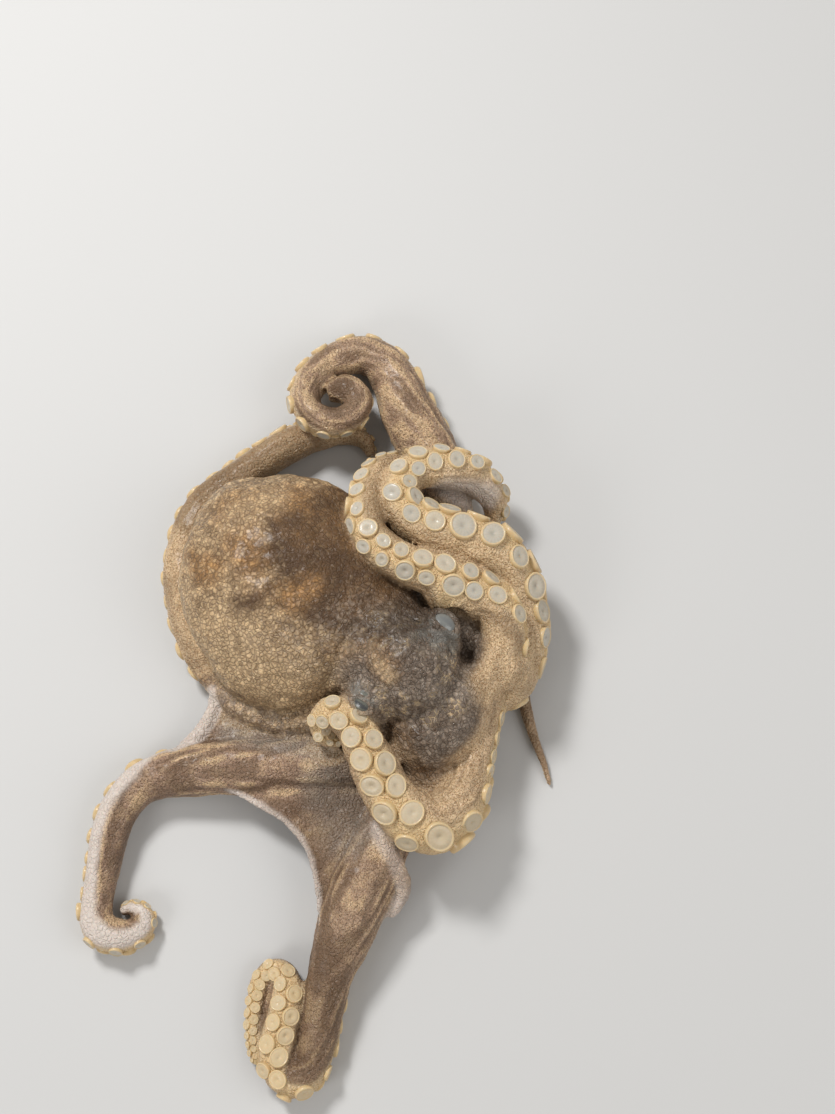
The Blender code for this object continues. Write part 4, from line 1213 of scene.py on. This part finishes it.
class OCTOPUS_OT_suckers(bpy.types.Operator):
    """Grow two rows of suckers on every arm"""
    bl_idname = "octopus.suckers"
    bl_label = "Suckers"

    def execute(self, context):
        settings = context.scene.octopus_suckers
        chance = random.Random(SUCKER_SEED)
        skin = bpy.data.objects["skin"]
        tree = BVHTree.FromObject(skin, context.evaluated_depsgraph_get())
        template = sucker_template(SUCKER_SIDES)
        finish = sucker_material(settings)
        for name, route in ROUTES.items():
            suckers = grow_suckers(name, route, settings, template, tree, chance)
            suckers.data.materials.append(finish)
            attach(suckers, "root")
        return {"FINISHED"}


class OCTOPUS_OT_eyes(bpy.types.Operator):
    """Set both eyes in the head"""
    bl_idname = "octopus.eyes"
    bl_label = "Eyes"

    def execute(self, context):
        settings = context.scene.octopus_eyes
        finish = eye_material(settings)
        for side in EYE_SIDES:
            eye = make_eye(side, settings)
            eye.data.materials.append(finish)
            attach(eye, "root")
            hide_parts("eye_" + side)
        return {"FINISHED"}


class OCTOPUS_OT_stage(bpy.types.Operator):
    """Lay the floor and set the lights and the camera"""
    bl_idname = "octopus.stage"
    bl_label = "Stage"

    def execute(self, context):
        settings = context.scene.octopus_stage
        low, high = CAD_BOX
        reach = max(high[axis] - low[axis] for axis in range(3))
        bm = bmesh.new()
        bmesh.ops.create_grid(bm, x_segments=1, y_segments=1, size=FLOOR_REACH * reach)
        floor = finish_mesh("floor", bm)
        material, net, shader, _ = new_material("pale_floor")
        dress(net, shader, {"Base Color": colour(settings.floor), "Roughness": 0.75})
        floor.data.materials.append(material)

        for name, place, size, share in LIGHTS:
            lamp = bpy.data.lights.new(name, "AREA")
            lamp.size = size
            lamp.energy = settings.light * share
            light = bpy.data.objects.new(name, lamp)
            light.location = place
            light.rotation_euler = (-Vector(place)).to_track_quat("-Z", "Y").to_euler()
            context.scene.collection.objects.link(light)
        world = bpy.data.worlds.new("studio")
        world.use_nodes = True
        dress(Nodes(world.node_tree), world.node_tree.nodes["Background"], AMBIENT)
        context.scene.world = world
        context.scene.view_settings.view_transform = "Standard"

        target = CAMERA_TARGET * MM
        back = Vector((0.0, -math.cos(settings.elevation), math.sin(settings.elevation)))
        lens = bpy.data.cameras.new("camera")
        lens.lens = 50.0
        lens.sensor_width = 36.0
        lens.clip_start = 0.01
        camera = bpy.data.objects.new("camera", lens)
        camera.location = target + back * settings.distance
        camera.rotation_euler = (-back).to_track_quat("-Z", "Y").to_euler()
        context.scene.collection.objects.link(camera)
        context.scene.camera = camera
        return {"FINISHED"}


class OCTOPUS_PT_panel(bpy.types.Panel):
    """Lists the pieces and their settings"""
    bl_idname = "OCTOPUS_PT_panel"
    bl_label = "Octopus"
    bl_space_type = "VIEW_3D"
    bl_region_type = "UI"
    bl_category = "Octopus"

    def draw(self, context):
        layout = self.layout
        for operator, group in PIECES:
            box = layout.box()
            box.operator(operator.bl_idname)
            settings = getattr(context.scene, group)
            for key in settings.bl_rna.properties.keys():
                if key not in ("rna_type", "name"):
                    box.prop(settings, key)


PIECES = ((OCTOPUS_OT_skin, "octopus_skin"), (OCTOPUS_OT_suckers, "octopus_suckers"),
          (OCTOPUS_OT_eyes, "octopus_eyes"), (OCTOPUS_OT_stage, "octopus_stage"))
GROUPS = {"octopus_skin": OCTOPUS_PG_skin, "octopus_suckers": OCTOPUS_PG_suckers,
          "octopus_eyes": OCTOPUS_PG_eyes, "octopus_stage": OCTOPUS_PG_stage}


def register():
    for name, group in GROUPS.items():
        bpy.utils.register_class(group)
        setattr(bpy.types.Scene, name, PointerProperty(type=group))
    for operator, _ in PIECES:
        bpy.utils.register_class(operator)
    bpy.utils.register_class(OCTOPUS_PT_panel)


def unregister():
    bpy.utils.unregister_class(OCTOPUS_PT_panel)
    for operator, _ in reversed(PIECES):
        bpy.utils.unregister_class(operator)
    for name, group in GROUPS.items():
        delattr(bpy.types.Scene, name)
        bpy.utils.unregister_class(group)


def main():
    register()
    bpy.ops.octopus.stage()
    bpy.ops.octopus.skin()
    bpy.ops.octopus.suckers()
    bpy.ops.octopus.eyes()


if __name__ == "__main__":
    main()
